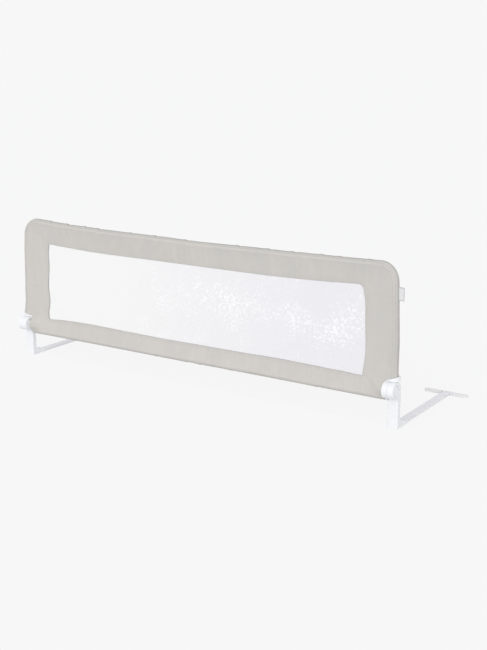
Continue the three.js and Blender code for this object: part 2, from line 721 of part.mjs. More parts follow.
// Flat oval steel arm with its screw holes and the slot that the crossbar passes through.
function arm() {
  const y0 = LEG_FRONT + FOOT_FRONT_WALL + SEAT_GAP;
  const half = ARM_WIDTH / 2;
  const outside = roundedRectangle(
    LEG_CENTRE_X - half,
    LEG_CENTRE_X + half,
    0,
    ARM_THICKNESS,
    ARM_THICKNESS * OVAL_SHARE,
  );
  const inside = roundedRectangle(
    LEG_CENTRE_X - half + ARM_WALL,
    LEG_CENTRE_X + half - ARM_WALL,
    ARM_WALL,
    ARM_THICKNESS - ARM_WALL,
    (ARM_THICKNESS - 2 * ARM_WALL) * OVAL_SHARE,
  );
  const slot = box(
    LEG_CENTRE_X - ARM_WIDTH,
    LEG_CENTRE_X + ARM_WIDTH,
    CROSSBAR_Y - CROSSBAR_DEPTH / 2 - SEAT_GAP,
    CROSSBAR_Y + CROSSBAR_DEPTH / 2 + SEAT_GAP,
    -CUT_OVERRUN,
    CROSSBAR_LIFT + CROSSBAR_THICKNESS + SEAT_GAP,
  );
  const screwCuts = armScrewPlaces().flatMap((y) => [
    rodZ(ARM_SCREW_RADIUS + SEAT_GAP, 0, ARM_THICKNESS + CUT_OVERRUN, LEG_CENTRE_X, y, SMALL_SIDES),
    rodZ(
      ARM_SCREW_HEAD_RADIUS + SEAT_GAP,
      -CUT_OVERRUN,
      ARM_THICKNESS - ARM_WALL,
      LEG_CENTRE_X,
      y,
      SMALL_SIDES,
    ),
  ]);
  return cut(
    prismY(outside, y0, ARM_END_Y, EDGE_STEPS),
    prismY(inside, y0 - CUT_OVERRUN, ARM_END_Y + CUT_OVERRUN, EDGE_STEPS),
    slot,
    rodZ(RIVET_RADIUS + SEAT_GAP, 0, ARM_THICKNESS + CUT_OVERRUN, LEG_CENTRE_X, CROSSBAR_Y, SMALL_SIDES),
    ...screwCuts,
  );
}

function armScrew(y) {
  const top = ARM_THICKNESS - ARM_WALL - SEAT_GAP;
  return join(
    rodZ(ARM_SCREW_HEAD_RADIUS, top - ARM_SCREW_HEAD, top, LEG_CENTRE_X, y, SMALL_SIDES),
    rodZ(
      ARM_SCREW_RADIUS,
      top - ARM_SCREW_HEAD / 2,
      top + ARM_SCREW_LENGTH,
      LEG_CENTRE_X,
      y,
      SMALL_SIDES,
    ),
  );
}

// Flat bar across the arm's end, which keeps the arm flat under the mattress.
function crossbar() {
  const half = CROSSBAR_LENGTH / 2;
  const bar = prismZ(
    roundedRectangle(
      LEG_CENTRE_X - half,
      LEG_CENTRE_X + half,
      CROSSBAR_Y - CROSSBAR_DEPTH / 2,
      CROSSBAR_Y + CROSSBAR_DEPTH / 2,
      CROSSBAR_DEPTH * BAR_END_SHARE,
    ),
    CROSSBAR_LIFT,
    CROSSBAR_LIFT + CROSSBAR_THICKNESS,
    BAR_END_STEPS,
  );
  return cut(bar, rivetOf(SEAT_GAP, CUT_OVERRUN));
}

// Rivet from under the crossbar into the arm's upper wall; with extra room it is its own hole.
function rivetOf(room, overrun) {
  return join(
    rodZ(
      RIVET_HEAD_RADIUS + room,
      CROSSBAR_LIFT - overrun,
      CROSSBAR_LIFT + RIVET_HEAD + room,
      LEG_CENTRE_X,
      CROSSBAR_Y,
      SMALL_SIDES,
    ),
    rodZ(
      RIVET_RADIUS + room,
      CROSSBAR_LIFT,
      ARM_THICKNESS - SEAT_GAP + overrun,
      LEG_CENTRE_X,
      CROSSBAR_Y,
      SMALL_SIDES,
    ),
  );
}

// Rubber sleeve over one half of the crossbar; side is 1 for the outer and -1 for the inner half.
function barSleeve(side) {
  const end = LEG_CENTRE_X + side * (CROSSBAR_LENGTH / 2 + BAR_SLEEVE_END);
  const start = LEG_CENTRE_X + side * (ARM_WIDTH / 2 + BAR_SLEEVE_ARM_GAP);
  const middle = (start + end) / 2;
  const [front, back] = [CROSSBAR_Y - BAR_SLEEVE_DEPTH / 2, CROSSBAR_Y + BAR_SLEEVE_DEPTH / 2];
  const height = CROSSBAR_LIFT + CROSSBAR_THICKNESS + BAR_SLEEVE_WALL + SEAT_GAP;
  const rounded = prismZ(
    roundedRectangle(
      Math.min(start, end),
      Math.max(start, end),
      front,
      back,
      BAR_SLEEVE_DEPTH * BAR_SLEEVE_CORNER_SHARE,
    ),
    0,
    height,
    BAR_END_STEPS,
  );
  const square = box(Math.min(start, middle), Math.max(start, middle), front, back, 0, height);
  const half = CROSSBAR_LENGTH / 2 + SEAT_GAP;
  const socket = prismZ(
    roundedRectangle(
      LEG_CENTRE_X - half,
      LEG_CENTRE_X + half,
      CROSSBAR_Y - CROSSBAR_DEPTH / 2 - SEAT_GAP,
      CROSSBAR_Y + CROSSBAR_DEPTH / 2 + SEAT_GAP,
      CROSSBAR_DEPTH * BAR_END_SHARE,
    ),
    CROSSBAR_LIFT - SEAT_GAP,
    CROSSBAR_LIFT + CROSSBAR_THICKNESS + SEAT_GAP,
    BAR_END_STEPS,
  );
  return cut(join(rounded, square), socket);
}

// Share of the way that a place has gone from a start to an end, from zero to one.
function shareOf(place, start, end) {
  return Math.min(Math.max((place - start) / (end - start), 0), 1);
}

// How far the top hangs down at a place along the rail. Between the sag's places, where the top
// tubes have rings, it changes evenly.
function sagAt(x) {
  const across = Math.min(Math.abs(x), BEND_X);
  const next = Math.max(SAG_PLACES.findIndex((place) => place >= across), 1);
  const [a, b] = [SAG_PLACES[next - 1], SAG_PLACES[next]];
  const [sagA, sagB] = [a, b].map((place) => TOP_SAG * Math.cos((Math.PI * place) / BEND_X / 2));
  return sagA + (sagB - sagA) * shareOf(across, a, b);
}

// Moves a straight solid of the panel as the stretched cloth pulls it.
function pulled(solid) {
  return solid.warp((point) => {
    const [x, , z] = point;
    const across = Math.abs(x);
    const lean = UPRIGHT_LEAN * shareOf(z, LEAN_START, BEND_Z) * shareOf(across, SEAM_X, BEND_X);
    point[0] -= Math.sign(x) * lean;
    point[2] -= sagAt(x) * shareOf(z, WINDOW_BOTTOM, WINDOW_TOP);
  });
}

// Centre line of a corner tube before the pull: up from the housing, round the bend and in to the
// top joint.
function cornerTubePath(extra) {
  const start = collarTopAt(FACE_X) + SEAT_GAP;
  const points = [
    new THREE.Vector3(TUBE_X, 0, start - extra),
    new THREE.Vector3(TUBE_X, 0, LEAN_START),
  ];
  for (let step = 0; step <= BEND_STEPS; step++) {
    const angle = (step / BEND_STEPS) * (Math.PI / 2);
    points.push(
      new THREE.Vector3(
        BEND_X + TUBE_BEND * Math.cos(angle),
        0,
        BEND_Z + TUBE_BEND * Math.sin(angle),
      ),
    );
  }
  points.push(new THREE.Vector3(SAG_PLACES[3], 0, TOP_TUBE_Z));
  points.push(new THREE.Vector3(TOP_JOINT_X + TUBE_JOINT_GAP / 2 - extra, 0, TOP_TUBE_Z));
  return points;
}

function cornerTube() {
  return cut(
    sweep(cornerTubePath(0), TUBE_RADIUS, TUBE_SIDES),
    sweep(cornerTubePath(CUT_OVERRUN), TUBE_BORE, TUBE_SIDES),
    upperPin(SEAT_GAP, PIN_HOLE_OVERRUN),
    snapHole(TOP_JOINT_X + SNAP_OFFSET, TOP_TUBE_Z),
  );
}

// A bar along the top line before the pull, with rings at the given places.
function topRod(radius, places) {
  return sweep(places.map((x) => new THREE.Vector3(x, 0, TOP_TUBE_Z)), radius, TUBE_SIDES);
}

function topTube() {
  const end = TOP_JOINT_X - TUBE_JOINT_GAP / 2;
  const ring = SAG_PLACES[1];
  return cut(
    topRod(TUBE_RADIUS, [-end, -ring, ring, end]),
    topRod(TUBE_BORE, [-end - CUT_OVERRUN, -ring, ring, end + CUT_OVERRUN]),
  );
}

// Sleeve inside a top joint, bent at its middle as the tubes are.
function topJointSleeve() {
  const radius = TUBE_BORE - SPIGOT_CLEARANCE;
  const start = TOP_JOINT_X - JOINT_LENGTH / 2;
  const end = TOP_JOINT_X + JOINT_LENGTH / 2;
  return cut(
    topRod(radius, [start, TOP_JOINT_X, end]),
    topRod(radius - JOINT_WALL, [start - CUT_OVERRUN, TOP_JOINT_X, end + CUT_OVERRUN]),
    snapHole(TOP_JOINT_X + SNAP_OFFSET, TOP_TUBE_Z),
  );
}

// A straight tube along X with the holes that are cut through it.
function straightTube(x0, x1, z, holes) {
  return cut(
    rodX(TUBE_RADIUS, x0, x1, 0, z, TUBE_SIDES),
    rodX(TUBE_BORE, x0 - CUT_OVERRUN, x1 + CUT_OVERRUN, 0, z, TUBE_SIDES),
    ...holes,
  );
}

function snapHole(x, z) {
  return rodY(SNAP_PIN_RADIUS + SEAT_GAP, 0, TUBE_RADIUS + CUT_OVERRUN, x, z, SMALL_SIDES);
}

// Sleeve inside the bottom joint, with the hole of its snap button on one half.
function bottomJointSleeve() {
  const radius = TUBE_BORE - SPIGOT_CLEARANCE;
  const end = JOINT_LENGTH / 2;
  const boreEnd = end + CUT_OVERRUN;
  return cut(
    rodX(radius, -end, end, 0, BOTTOM_TUBE_Z, TUBE_SIDES),
    rodX(radius - JOINT_WALL, -boreEnd, boreEnd, 0, BOTTOM_TUBE_Z, TUBE_SIDES),
    snapHole(SNAP_OFFSET, BOTTOM_TUBE_Z),
  );
}

// Snap button: a pin through the sleeve and the tube, with a collar inside the sleeve.
function snapButton(x, z) {
  const tip = TUBE_RADIUS + SNAP_PIN_PROUD;
  const bore = TUBE_BORE - SPIGOT_CLEARANCE - JOINT_WALL;
  const collarTop = Math.sqrt(bore ** 2 - (SNAP_COLLAR_RADIUS + SEAT_GAP) ** 2) - SEAT_GAP;
  return join(
    rodY(SNAP_PIN_RADIUS, tip - SNAP_PIN_LENGTH, tip, x, z, SMALL_SIDES),
    rodY(SNAP_COLLAR_RADIUS, collarTop - SNAP_COLLAR_THICKNESS, collarTop, x, z, SMALL_SIDES),
  );
}

// Bent leaf spring behind a snap button: two legs that meet in a bend, open under the pin.
function snapLeaf(x, z) {
  const top = TUBE_RADIUS + SNAP_PIN_PROUD - SNAP_PIN_LENGTH - SEAT_GAP;
  const bore = TUBE_BORE - SPIGOT_CLEARANCE - JOINT_WALL;
  const floor = SEAT_GAP - Math.sqrt(bore ** 2 - (LEAF_WIDTH / 2 + SEAT_GAP) ** 2);
  const x0 = x - SNAP_PIN_RADIUS;
  const x1 = x0 + LEAF_LENGTH;
  const middle = (top + floor) / 2;
  const outline = outlineOf([
    [x0, -top],
    [x1 - LEAF_BEND, -(middle + LEAF_BEND)],
    [x1, -middle],
    [x1 - LEAF_BEND, -(middle - LEAF_BEND)],
    [x0, -floor],
    [x0, -(floor + LEAF_THICKNESS)],
    [x1 - LEAF_BEND, -(middle - LEAF_BEND + LEAF_THICKNESS)],
    [x1 - LEAF_THICKNESS, -middle],
    [x1 - LEAF_BEND, -(middle + LEAF_BEND - LEAF_THICKNESS)],
    [x0, -(top - LEAF_THICKNESS)],
  ]);
  const settings = { depth: LEAF_WIDTH, bevelEnabled: false };
  const leaf = new THREE.ExtrudeGeometry(outline, settings);
  const turn = new THREE.Matrix4().makeBasis(
    new THREE.Vector3(1, 0, 0),
    new THREE.Vector3(0, -1, 0),
    new THREE.Vector3(0, 0, -1),
  );
  return solidOf(leaf.applyMatrix4(turn).translate(0, 0, z + LEAF_WIDTH / 2));
}

// Cloth border between an outer edge and the window edge, as one closed skin. Each row has an
// outer point, the direction square to the edge there, an inner point and its run along the
// border; inset shrinks the skin into the cavity.
function clothSkin(rows, inset, hem, wrinkle) {
  const radius = SLEEVE_RADIUS - inset;
  const columns = ROUND_SHARES.length + FLAT_SHARES.length;
  const positions = [];
  const ids = rows.map((row) => {
    const crest = row.outer.clone().addScaledVector(row.square, SLEEVE_RADIUS);
    const flat = row.inner.clone().sub(crest);
    flat.setLength(flat.length() - hem);
    const pulled = Math.cos((Math.PI * row.run) / SCALLOP_LENGTH) ** SCALLOP_POWER;
    const scallop = inset ? 0 : SCALLOP_DEPTH * pulled;
    return Array.from({ length: columns }, (_, column) => {
      const place = new THREE.Vector2();
      let half = 0;
      if (column < ROUND_SHARES.length) {
        const angle = (ROUND_SHARES[column] * Math.PI) / 2;
        const fold = inset + scallop * (1 - ROUND_SHARES[column]);
        place.copy(row.outer).addScaledVector(row.square, fold + radius * (1 - Math.cos(angle)));
        half = radius * Math.sin(angle);
      } else {
        const share = FLAT_SHARES[column - ROUND_SHARES.length];
        const wave = Math.sin((2 * Math.PI * row.run) / WRINKLE_LENGTH + share * Math.PI);
        const edge = Math.max(HEM_HALF_THICKNESS - inset / 2, CLOTH_THICKNESS / 2);
        place.copy(crest).addScaledVector(flat, share);
        half = radius + (edge - radius) * share ** TAPER_POWER;
        half += wrinkle * wave * Math.sin(Math.PI * share);
      }
      const front = positions.length / 3;
      positions.push(place.x, -half, place.y);
      if (column === 0) return [front, front];
      positions.push(place.x, half, place.y);
      return [front, front + 1];
    });
  });
  const index = [];
  const quad = (a, b, c, d) => index.push(a, b, c, a, c, d);
  for (let row = 0; row + 1 < rows.length; row++) {
    for (let column = 0; column + 1 < columns; column++) {
      const [a, b] = [ids[row][column], ids[row][column + 1]];
      const [d, c] = [ids[row + 1][column], ids[row + 1][column + 1]];
      quad(a[0], b[0], c[0], d[0]);
      quad(d[1], c[1], b[1], a[1]);
    }
    const [near, far] = [ids[row][columns - 1], ids[row + 1][columns - 1]];
    quad(near[0], near[1], far[1], far[0]);
  }
  for (const [end, turned] of [
    [ids[0], false],
    [ids[rows.length - 1], true],
  ]) {
    for (let column = 0; column + 1 < columns; column++) {
      const [a, b] = [end[column], end[column + 1]];
      if (turned) quad(a[0], b[0], b[1], a[1]);
      else quad(a[1], b[1], b[0], a[0]);
    }
  }
  const geometry = new THREE.BufferGeometry();
  geometry.setAttribute("position", new THREE.Float32BufferAttribute(positions, 3));
  geometry.setIndex(index);
  return solidOf(geometry);
}

// A hollow cloth border: its skin, less the cavity that the tube runs in.
function clothBand(rows, cavityRows) {
  const skin = clothSkin(rows, 0, 0, WRINKLE_HEIGHT);
  return cut(skin, clothSkin(cavityRows, CLOTH_THICKNESS, HEM_WIDTH, 0));
}

// Rows of the top or bottom border between the two seams.
function straightRows(outerZ, innerZ, bow, count, extra) {
  const square = new THREE.Vector2(0, Math.sign(innerZ - outerZ));
  const end = SEAM_X - SEAM_GAP / 2 + extra;
  return Array.from({ length: count + 1 }, (_, number) => {
    const x = -end + (2 * end * number) / count;
    const share = Math.min(Math.max((x + SEAM_X) / (2 * SEAM_X), 0), 1);
    const inner = innerZ + bow * Math.sin(Math.PI * share);
    return {
      outer: new THREE.Vector2(x, outerZ),
      inner: new THREE.Vector2(x, inner),
      square,
      run: x,
    };
  });
}

// A stretch of border edge that turns from one angle to another round a centre.
function edgeArc(centre, radius, angle0, angle1, steps) {
  return Array.from({ length: steps + 1 }, (_, step) => {
    const angle = angle0 + ((angle1 - angle0) * step) / steps;
    const square = new THREE.Vector2(-Math.cos(angle), -Math.sin(angle));
    return { outer: centre.clone().addScaledVector(square, -radius), square };
  });
}

// A straight stretch of border edge, without its last point.
function edgeLine(from, to, square, steps) {
  return Array.from({ length: steps }, (_, step) => ({
    outer: from.clone().lerp(to, step / steps),
    square,
  }));
}

// Gives the rows round a window corner inner points that fan out on the corner's fillet.
function fanned(rows, centre, angle0, angle1) {
  return rows.map((row, number) => {
    const angle = angle0 + ((angle1 - angle0) * (number + 1)) / (rows.length + 1);
    const inner = new THREE.Vector2(Math.cos(angle), Math.sin(angle));
    inner.multiplyScalar(WINDOW_FILLET).add(centre);
    inner.x = Math.min(inner.x, Math.max(row.outer.x, centre.x));
    return { ...row, inner };
  });
}

// Rows of a side border, from its bottom seam round both corners to its top seam.
function sideRows(detail, extra) {
  const seam = SEAM_X + SEAM_GAP / 2 - extra;
  const quarter = Math.PI / 2;
  const lowCentre = new THREE.Vector2(
    HALF_LENGTH - LOWER_CORNER_RADIUS,
    PANEL_BOTTOM + LOWER_CORNER_RADIUS,
  );
  const topCentre = new THREE.Vector2(
    HALF_LENGTH - PANEL_CORNER_RADIUS,
    PANEL_TOP - PANEL_CORNER_RADIUS,
  );
  const lowFillet = new THREE.Vector2(SEAM_X, WINDOW_BOTTOM + WINDOW_FILLET);
  const topFillet = new THREE.Vector2(SEAM_X, WINDOW_TOP - WINDOW_FILLET);
  const up = new THREE.Vector2(0, 1);
  const down = new THREE.Vector2(0, -1);
  const inward = new THREE.Vector2(-1, 0);
  const foot = edgeLine(
    new THREE.Vector2(seam, PANEL_BOTTOM),
    new THREE.Vector2(lowCentre.x, PANEL_BOTTOM),
    up,
    detail,
  );
  const lowCorner = edgeArc(lowCentre, LOWER_CORNER_RADIUS, -quarter, 0, LOWER_CORNER_STEPS);
  const uprightSteps = detail * 4;
  const upright = Array.from({ length: uprightSteps + 1 }, (_, step) => {
    const z = lowFillet.y + ((topFillet.y - lowFillet.y) * step) / uprightSteps;
    const bow = SIDE_BOW * Math.sin((Math.PI * step) / uprightSteps);
    return {
      outer: new THREE.Vector2(HALF_LENGTH, z),
      inner: new THREE.Vector2(WINDOW_X + bow, z),
      square: inward,
    };
  });
  const topCorner = edgeArc(topCentre, PANEL_CORNER_RADIUS, 0, quarter, detail * 2);
  const head = edgeLine(
    new THREE.Vector2(seam, PANEL_TOP),
    new THREE.Vector2(topCentre.x, PANEL_TOP),
    down,
    detail,
  ).reverse();
  const rows = [
    ...fanned([...foot, ...lowCorner], lowFillet, -quarter, 0),
    ...upright,
    ...fanned([...topCorner, ...head], topFillet, 0, quarter),
  ];
  let run = 0;
  rows.forEach((row, number) => {
    if (number) run += row.outer.distanceTo(rows[number - 1].outer);
    row.run = run;
  });
  return rows;
}

// Room that the side border leaves round the hinge: under the collar's slant, beside the barrel.
function hingeNotch() {
  const inner = FACE_X - BARREL_END - NOTCH_GAP;
  const outer = FACE_X + CUT_OVERRUN;
  const low = PANEL_BOTTOM - CUT_OVERRUN;
  return prismY(
    outlineOf([
      [inner, low],
      [outer, low],
      [outer, collarTopAt(outer) + NOTCH_GAP],
      [inner, collarTopAt(inner) + NOTCH_GAP],
    ]),
    -SLEEVE_RADIUS - CUT_OVERRUN,
    SLEEVE_RADIUS + CUT_OVERRUN,
  );
}

function sideCover() {
  return cut(clothBand(sideRows(SIDE_DETAIL, 0), sideRows(CAVITY_DETAIL, CUT_OVERRUN)), hingeNotch());
}

function topCover() {
  return clothBand(
    straightRows(PANEL_TOP, WINDOW_TOP, -TOP_BOW, COVER_ROWS, 0),
    straightRows(PANEL_TOP, WINDOW_TOP, -TOP_BOW, CAVITY_ROWS, CUT_OVERRUN),
  );
}

function bottomCover() {
  return clothBand(
    straightRows(PANEL_BOTTOM, WINDOW_BOTTOM, LOWER_BOW, COVER_ROWS, 0),
    straightRows(PANEL_BOTTOM, WINDOW_BOTTOM, LOWER_BOW, CAVITY_ROWS, CUT_OVERRUN),
  );
}

// The mesh window: a thin sheet that fills the bowed outline of the borders.
function meshPanel() {
  const steps = WINDOW_STEPS;
  const points = [];
  const left = -WINDOW_X + MESH_GAP;
  const right = WINDOW_X - MESH_GAP;
  const bottom = WINDOW_BOTTOM + WINDOW_FILLET;
  const top = WINDOW_TOP - WINDOW_FILLET;
  for (let step = 0; step <= steps; step++) {
    const share = step / steps;
    const x = -SEAM_X + 2 * SEAM_X * share;
    points.push([x, WINDOW_BOTTOM + MESH_GAP + LOWER_BOW * Math.sin(Math.PI * share)]);
  }
  for (let step = 0; step <= steps; step++) {
    const share = step / steps;
    points.push([right + SIDE_BOW * Math.sin(Math.PI * share), bottom + (top - bottom) * share]);
  }
  for (let step = 0; step <= steps; step++) {
    const share = step / steps;
    const x = SEAM_X - 2 * SEAM_X * share;
    points.push([x, WINDOW_TOP - MESH_GAP - TOP_BOW * Math.sin(Math.PI * share)]);
  }
  for (let step = 0; step <= steps; step++) {
    const share = step / steps;
    points.push([left - SIDE_BOW * Math.sin(Math.PI * share), top + (bottom - top) * share]);
  }
  return prismY(outlineOf(points), -MESH_THICKNESS / 2, MESH_THICKNESS / 2);
}

function sideTag() {
  return box(
    HALF_LENGTH + SEAT_GAP,
    HALF_LENGTH + TAG_REACH,
    -TAG_THICKNESS / 2,
    TAG_THICKNESS / 2,
    TAG_TOP - TAG_HEIGHT,
    TAG_TOP,
  );
}

// Everything that both ends have, made for the right end and mirrored for the left one.
function endPieces() {
  return [
    ["leg", leg(), whitePlastic],
    ["release_button", releaseButton(), whitePlastic],
    ["lock_gear", lockGear(), greyPlastic],
    ["lock_spring", lockSpring(), springSteel],
    ["hinge_bolt", hingeBolt(), plainSteel],
    ["hinge_nut", hingeNut(), plainSteel],
    ["hinge_housing", hingeHousing(), whitePlastic],
    ["housing_cover", coverPlate(), whitePlastic],
    ["cover_screw_upper", coverScrew(coverScrewPlaces()[0]), plainSteel],
    ["cover_screw_lower", coverScrew(coverScrewPlaces()[1]), plainSteel],
    ["upright_pin", upperPin(0, 0), plainSteel],
    ["bottom_tube_pin", lowerPin(0, 0), plainSteel],
    ["arm", arm(), paintedSteel],
    ["arm_screw_front", armScrew(armScrewPlaces()[0]), plainSteel],
    ["arm_screw_rear", armScrew(armScrewPlaces()[1]), plainSteel],
    ["crossbar", crossbar(), paintedSteel],
    ["crossbar_rivet", rivetOf(0, 0), plainSteel],
    ["crossbar_sleeve_outer", barSleeve(1), rubber],
    ["crossbar_sleeve_inner", barSleeve(-1), rubber],
    ["corner_tube", pulled(cornerTube()), paintedSteel],
    ["top_joint_sleeve", pulled(topJointSleeve()), plainSteel],
    ["top_snap_button", pulled(snapButton(TOP_JOINT_X + SNAP_OFFSET, TOP_TUBE_Z)), plainSteel],
    ["top_snap_spring", pulled(snapLeaf(TOP_JOINT_X + SNAP_OFFSET, TOP_TUBE_Z)), springSteel],
    ["side_cover", pulled(sideCover()), cloth],
  ];
}

// Pieces that the rail has once.
function middlePieces() {
  const tubeEnd = FACE_X - BARREL_END - SEAT_GAP;
  const half = TUBE_JOINT_GAP / 2;
  const pinCut = lowerPin(SEAT_GAP, PIN_HOLE_OVERRUN);
  const snapCut = snapHole(SNAP_OFFSET, BOTTOM_TUBE_Z);
  const bottomRight = straightTube(half, tubeEnd, BOTTOM_TUBE_Z, [pinCut, snapCut]);
  const bottomLeft = straightTube(-tubeEnd, -half, BOTTOM_TUBE_Z, [pinCut.mirror([1, 0, 0])]);
  return [
    ["top_tube", pulled(topTube()), paintedSteel],
    ["bottom_tube_right", bottomRight, paintedSteel],
    ["bottom_tube_left", bottomLeft, paintedSteel],
    ["bottom_joint_sleeve", bottomJointSleeve(), plainSteel],
    ["bottom_snap_button", snapButton(SNAP_OFFSET, BOTTOM_TUBE_Z), plainSteel],
    ["bottom_snap_spring", snapLeaf(SNAP_OFFSET, BOTTOM_TUBE_Z), springSteel],
    ["top_cover", pulled(topCover()), cloth],
    ["bottom_cover", bottomCover(), cloth],
    ["mesh_panel", pulled(meshPanel()), netting],
    ["side_tag", pulled(sideTag()), tagCloth],
  ];
}

const rail = new THREE.Group();
rail.position.y = -CENTRE_Y;
for (const [suffix, mirror] of [
  ["right", 1],
  ["left", -1],
]) {
  const end = new THREE.Group();
  end.scale.x = mirror;
  for (const [name, solid, finish] of endPieces()) {
    end.add(meshOf(`${name}_${suffix}`, solid, finish));
  }
  rail.add(end);
}
for (const [name, solid, finish] of middlePieces()) {
  rail.add(meshOf(name, solid, finish));
}

export default rail;
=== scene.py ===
"""Looks of the folding bed guard rail: cloth cover, net, stitching, finishes, studio and camera."""

import json
import math

import bmesh
import bpy
import numpy as np
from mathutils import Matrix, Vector, noise


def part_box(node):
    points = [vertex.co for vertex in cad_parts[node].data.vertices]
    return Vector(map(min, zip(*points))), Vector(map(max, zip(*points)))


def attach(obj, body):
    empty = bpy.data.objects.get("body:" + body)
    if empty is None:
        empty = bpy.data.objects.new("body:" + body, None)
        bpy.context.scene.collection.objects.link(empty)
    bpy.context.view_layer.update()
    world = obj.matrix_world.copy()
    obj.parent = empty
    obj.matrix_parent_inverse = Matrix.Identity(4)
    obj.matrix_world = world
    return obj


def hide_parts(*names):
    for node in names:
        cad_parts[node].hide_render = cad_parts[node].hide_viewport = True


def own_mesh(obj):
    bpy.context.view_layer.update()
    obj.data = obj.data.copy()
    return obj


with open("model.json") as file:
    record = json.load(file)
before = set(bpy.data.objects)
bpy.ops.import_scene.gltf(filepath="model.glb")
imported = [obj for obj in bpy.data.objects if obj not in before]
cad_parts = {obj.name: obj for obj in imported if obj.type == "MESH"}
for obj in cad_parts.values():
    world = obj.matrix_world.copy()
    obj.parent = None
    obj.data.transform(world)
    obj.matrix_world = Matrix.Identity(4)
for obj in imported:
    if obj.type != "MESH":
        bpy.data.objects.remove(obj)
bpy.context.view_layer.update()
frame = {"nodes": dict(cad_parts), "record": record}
nodes = frame["nodes"]
scene = bpy.context.scene
MM = 0.001

# Camera at the photograph's place and angle, as fitted to it
CAMERA_PLACE = (2.1050, -3.0628, 1.1231)
YAW, PITCH = 0.5833, 0.1958
SENSOR, LENS = 36, 61.48
SHIFT_UP = -60 / 650
cam_data = bpy.data.cameras.new("camera")
camera = bpy.data.objects.new("camera", cam_data)
scene.collection.objects.link(camera)
scene.camera = camera
camera.location = CAMERA_PLACE
cos_pitch = math.cos(PITCH)
forward = Vector((-math.sin(YAW) * cos_pitch, math.cos(YAW) * cos_pitch, -math.sin(PITCH)))
camera.rotation_mode = "QUATERNION"
camera.rotation_quaternion = forward.to_track_quat("-Z", "Y")
cam_data.sensor_width = SENSOR
cam_data.lens = LENS
cam_data.shift_y = SHIFT_UP
cam_data.clip_start, cam_data.clip_end = 0.05, 100

# Studio
scene.view_settings.view_transform = "Standard"
world = bpy.data.worlds.new("studio")
scene.world = world
world.use_nodes = True


class Nodes:
    """Short calls for building a node tree."""

    def __init__(self, tree):
        self.tree = tree
        tree.nodes.clear()

    def add(self, kind, inputs=None, **settings):
        node = self.tree.nodes.new(kind)
        for key, value in settings.items():
            setattr(node, key, value)
        for key, value in (inputs or {}).items():
            if isinstance(value, bpy.types.NodeSocket):
                self.tree.links.new(value, node.inputs[key])
            else:
                node.inputs[key].default_value = value
        return node

    def math(self, operation, *values):
        return self.add("ShaderNodeMath", dict(enumerate(values)), operation=operation).outputs[0]

    def vector(self, operation, *values):
        return self.add("ShaderNodeVectorMath", dict(enumerate(values)), operation=operation)

    def mix_colour(self, factor, first, second):
        # The mix node's colour sockets come after those of its other types
        inputs = {0: factor, 6: first, 7: second}
        return self.add("ShaderNodeMix", inputs, data_type="RGBA").outputs[2]

    def place(self):
        return self.add("ShaderNodeTexCoord").outputs["Object"]

    def noise(self, place, scale, detail=2.0, roughness=0.5):
        inputs = {"Vector": place, "Scale": scale, "Detail": detail, "Roughness": roughness}
        return self.add("ShaderNodeTexNoise", inputs).outputs["Fac"]

    def scaled(self, place, factors):
        return self.vector("MULTIPLY", place, factors).outputs[0]

    def clamped(self, value):
        return self.add("ShaderNodeClamp", {0: value}).outputs[0]

    def attribute(self, name):
        return self.add("ShaderNodeAttribute", attribute_name=name).outputs["Fac"]

    def shade(self, tone, factor, dark_share, dark, light_share, light):
        """A tone taken towards dark where factor is 0 and towards light where it is 1."""
        darker = self.mix_colour(dark_share, tone, (*dark, 1))
        lighter = self.mix_colour(light_share, tone, (*light, 1))
        return self.mix_colour(factor, darker, lighter)

    def seen(self):
        """1 for rays that show the background: the camera's, off metal and through glass."""
        path = self.add("ShaderNodeLightPath")
        seen = self.math("MAXIMUM", path.outputs["Is Camera Ray"], path.outputs["Is Glossy Ray"])
        return self.math("MAXIMUM", seen, path.outputs["Is Transmission Ray"])

    def surface(self, shader):
        self.add("ShaderNodeOutputMaterial", {"Surface": shader.outputs[0]})


def grey(value):
    return (value, value, value, 1)


# Brightness of the background as it is seen, and of the light from above the floor and from below
BACKGROUND = 0.93
LAMP_WORLD = 0.86
LAMP_FLOOR = 0.67
LAMP_COLOUR = (0.985, 0.99, 1, 1)
SUN_STRENGTH = 1.15
# Degrees: how wide the sun is, how far it leans from straight up, and how far it is turned
SUN_SPREAD, SUN_LEAN, SUN_TURN = 50, 74, 18

n = Nodes(world.node_tree)
# Below the level of the floor the light is what a pale floor would throw back
direction = n.add("ShaderNodeTexCoord").outputs["Generated"]
up = n.add("ShaderNodeSeparateXYZ", {0: direction}).outputs["Z"]
below = n.math("MULTIPLY", n.math("LESS_THAN", up, 0.0), LAMP_WORLD - LAMP_FLOOR)
lamp = n.math("SUBTRACT", LAMP_WORLD, below)
plain = n.add("ShaderNodeBackground", {"Color": LAMP_COLOUR, "Strength": lamp})
shown = n.add("ShaderNodeBackground", {"Color": grey(BACKGROUND), "Strength": 1.0})
both = n.add("ShaderNodeMixShader", {0: n.seen(), 1: plain.outputs[0], 2: shown.outputs[0]})
n.add("ShaderNodeOutputWorld", {"Surface": both.outputs[0]})

sun_data = bpy.data.lights.new("key", "SUN")
sun_data.energy = SUN_STRENGTH
sun_data.angle = math.radians(SUN_SPREAD)
sun = bpy.data.objects.new("key", sun_data)
sun.rotation_euler = (math.radians(SUN_LEAN), 0, math.radians(SUN_TURN))
scene.collection.objects.link(sun)

# The floor's grey as it lights the object, and as it is seen: a dark grey that takes the shadow,
# with a glow over it
FLOOR_GREY, FLOOR_SEEN_GREY, FLOOR_GLOW = 0.8, 0.18, 0.76


def material(name):
    made = bpy.data.materials.new(name)
    made.use_nodes = True
    return made, Nodes(made.node_tree)


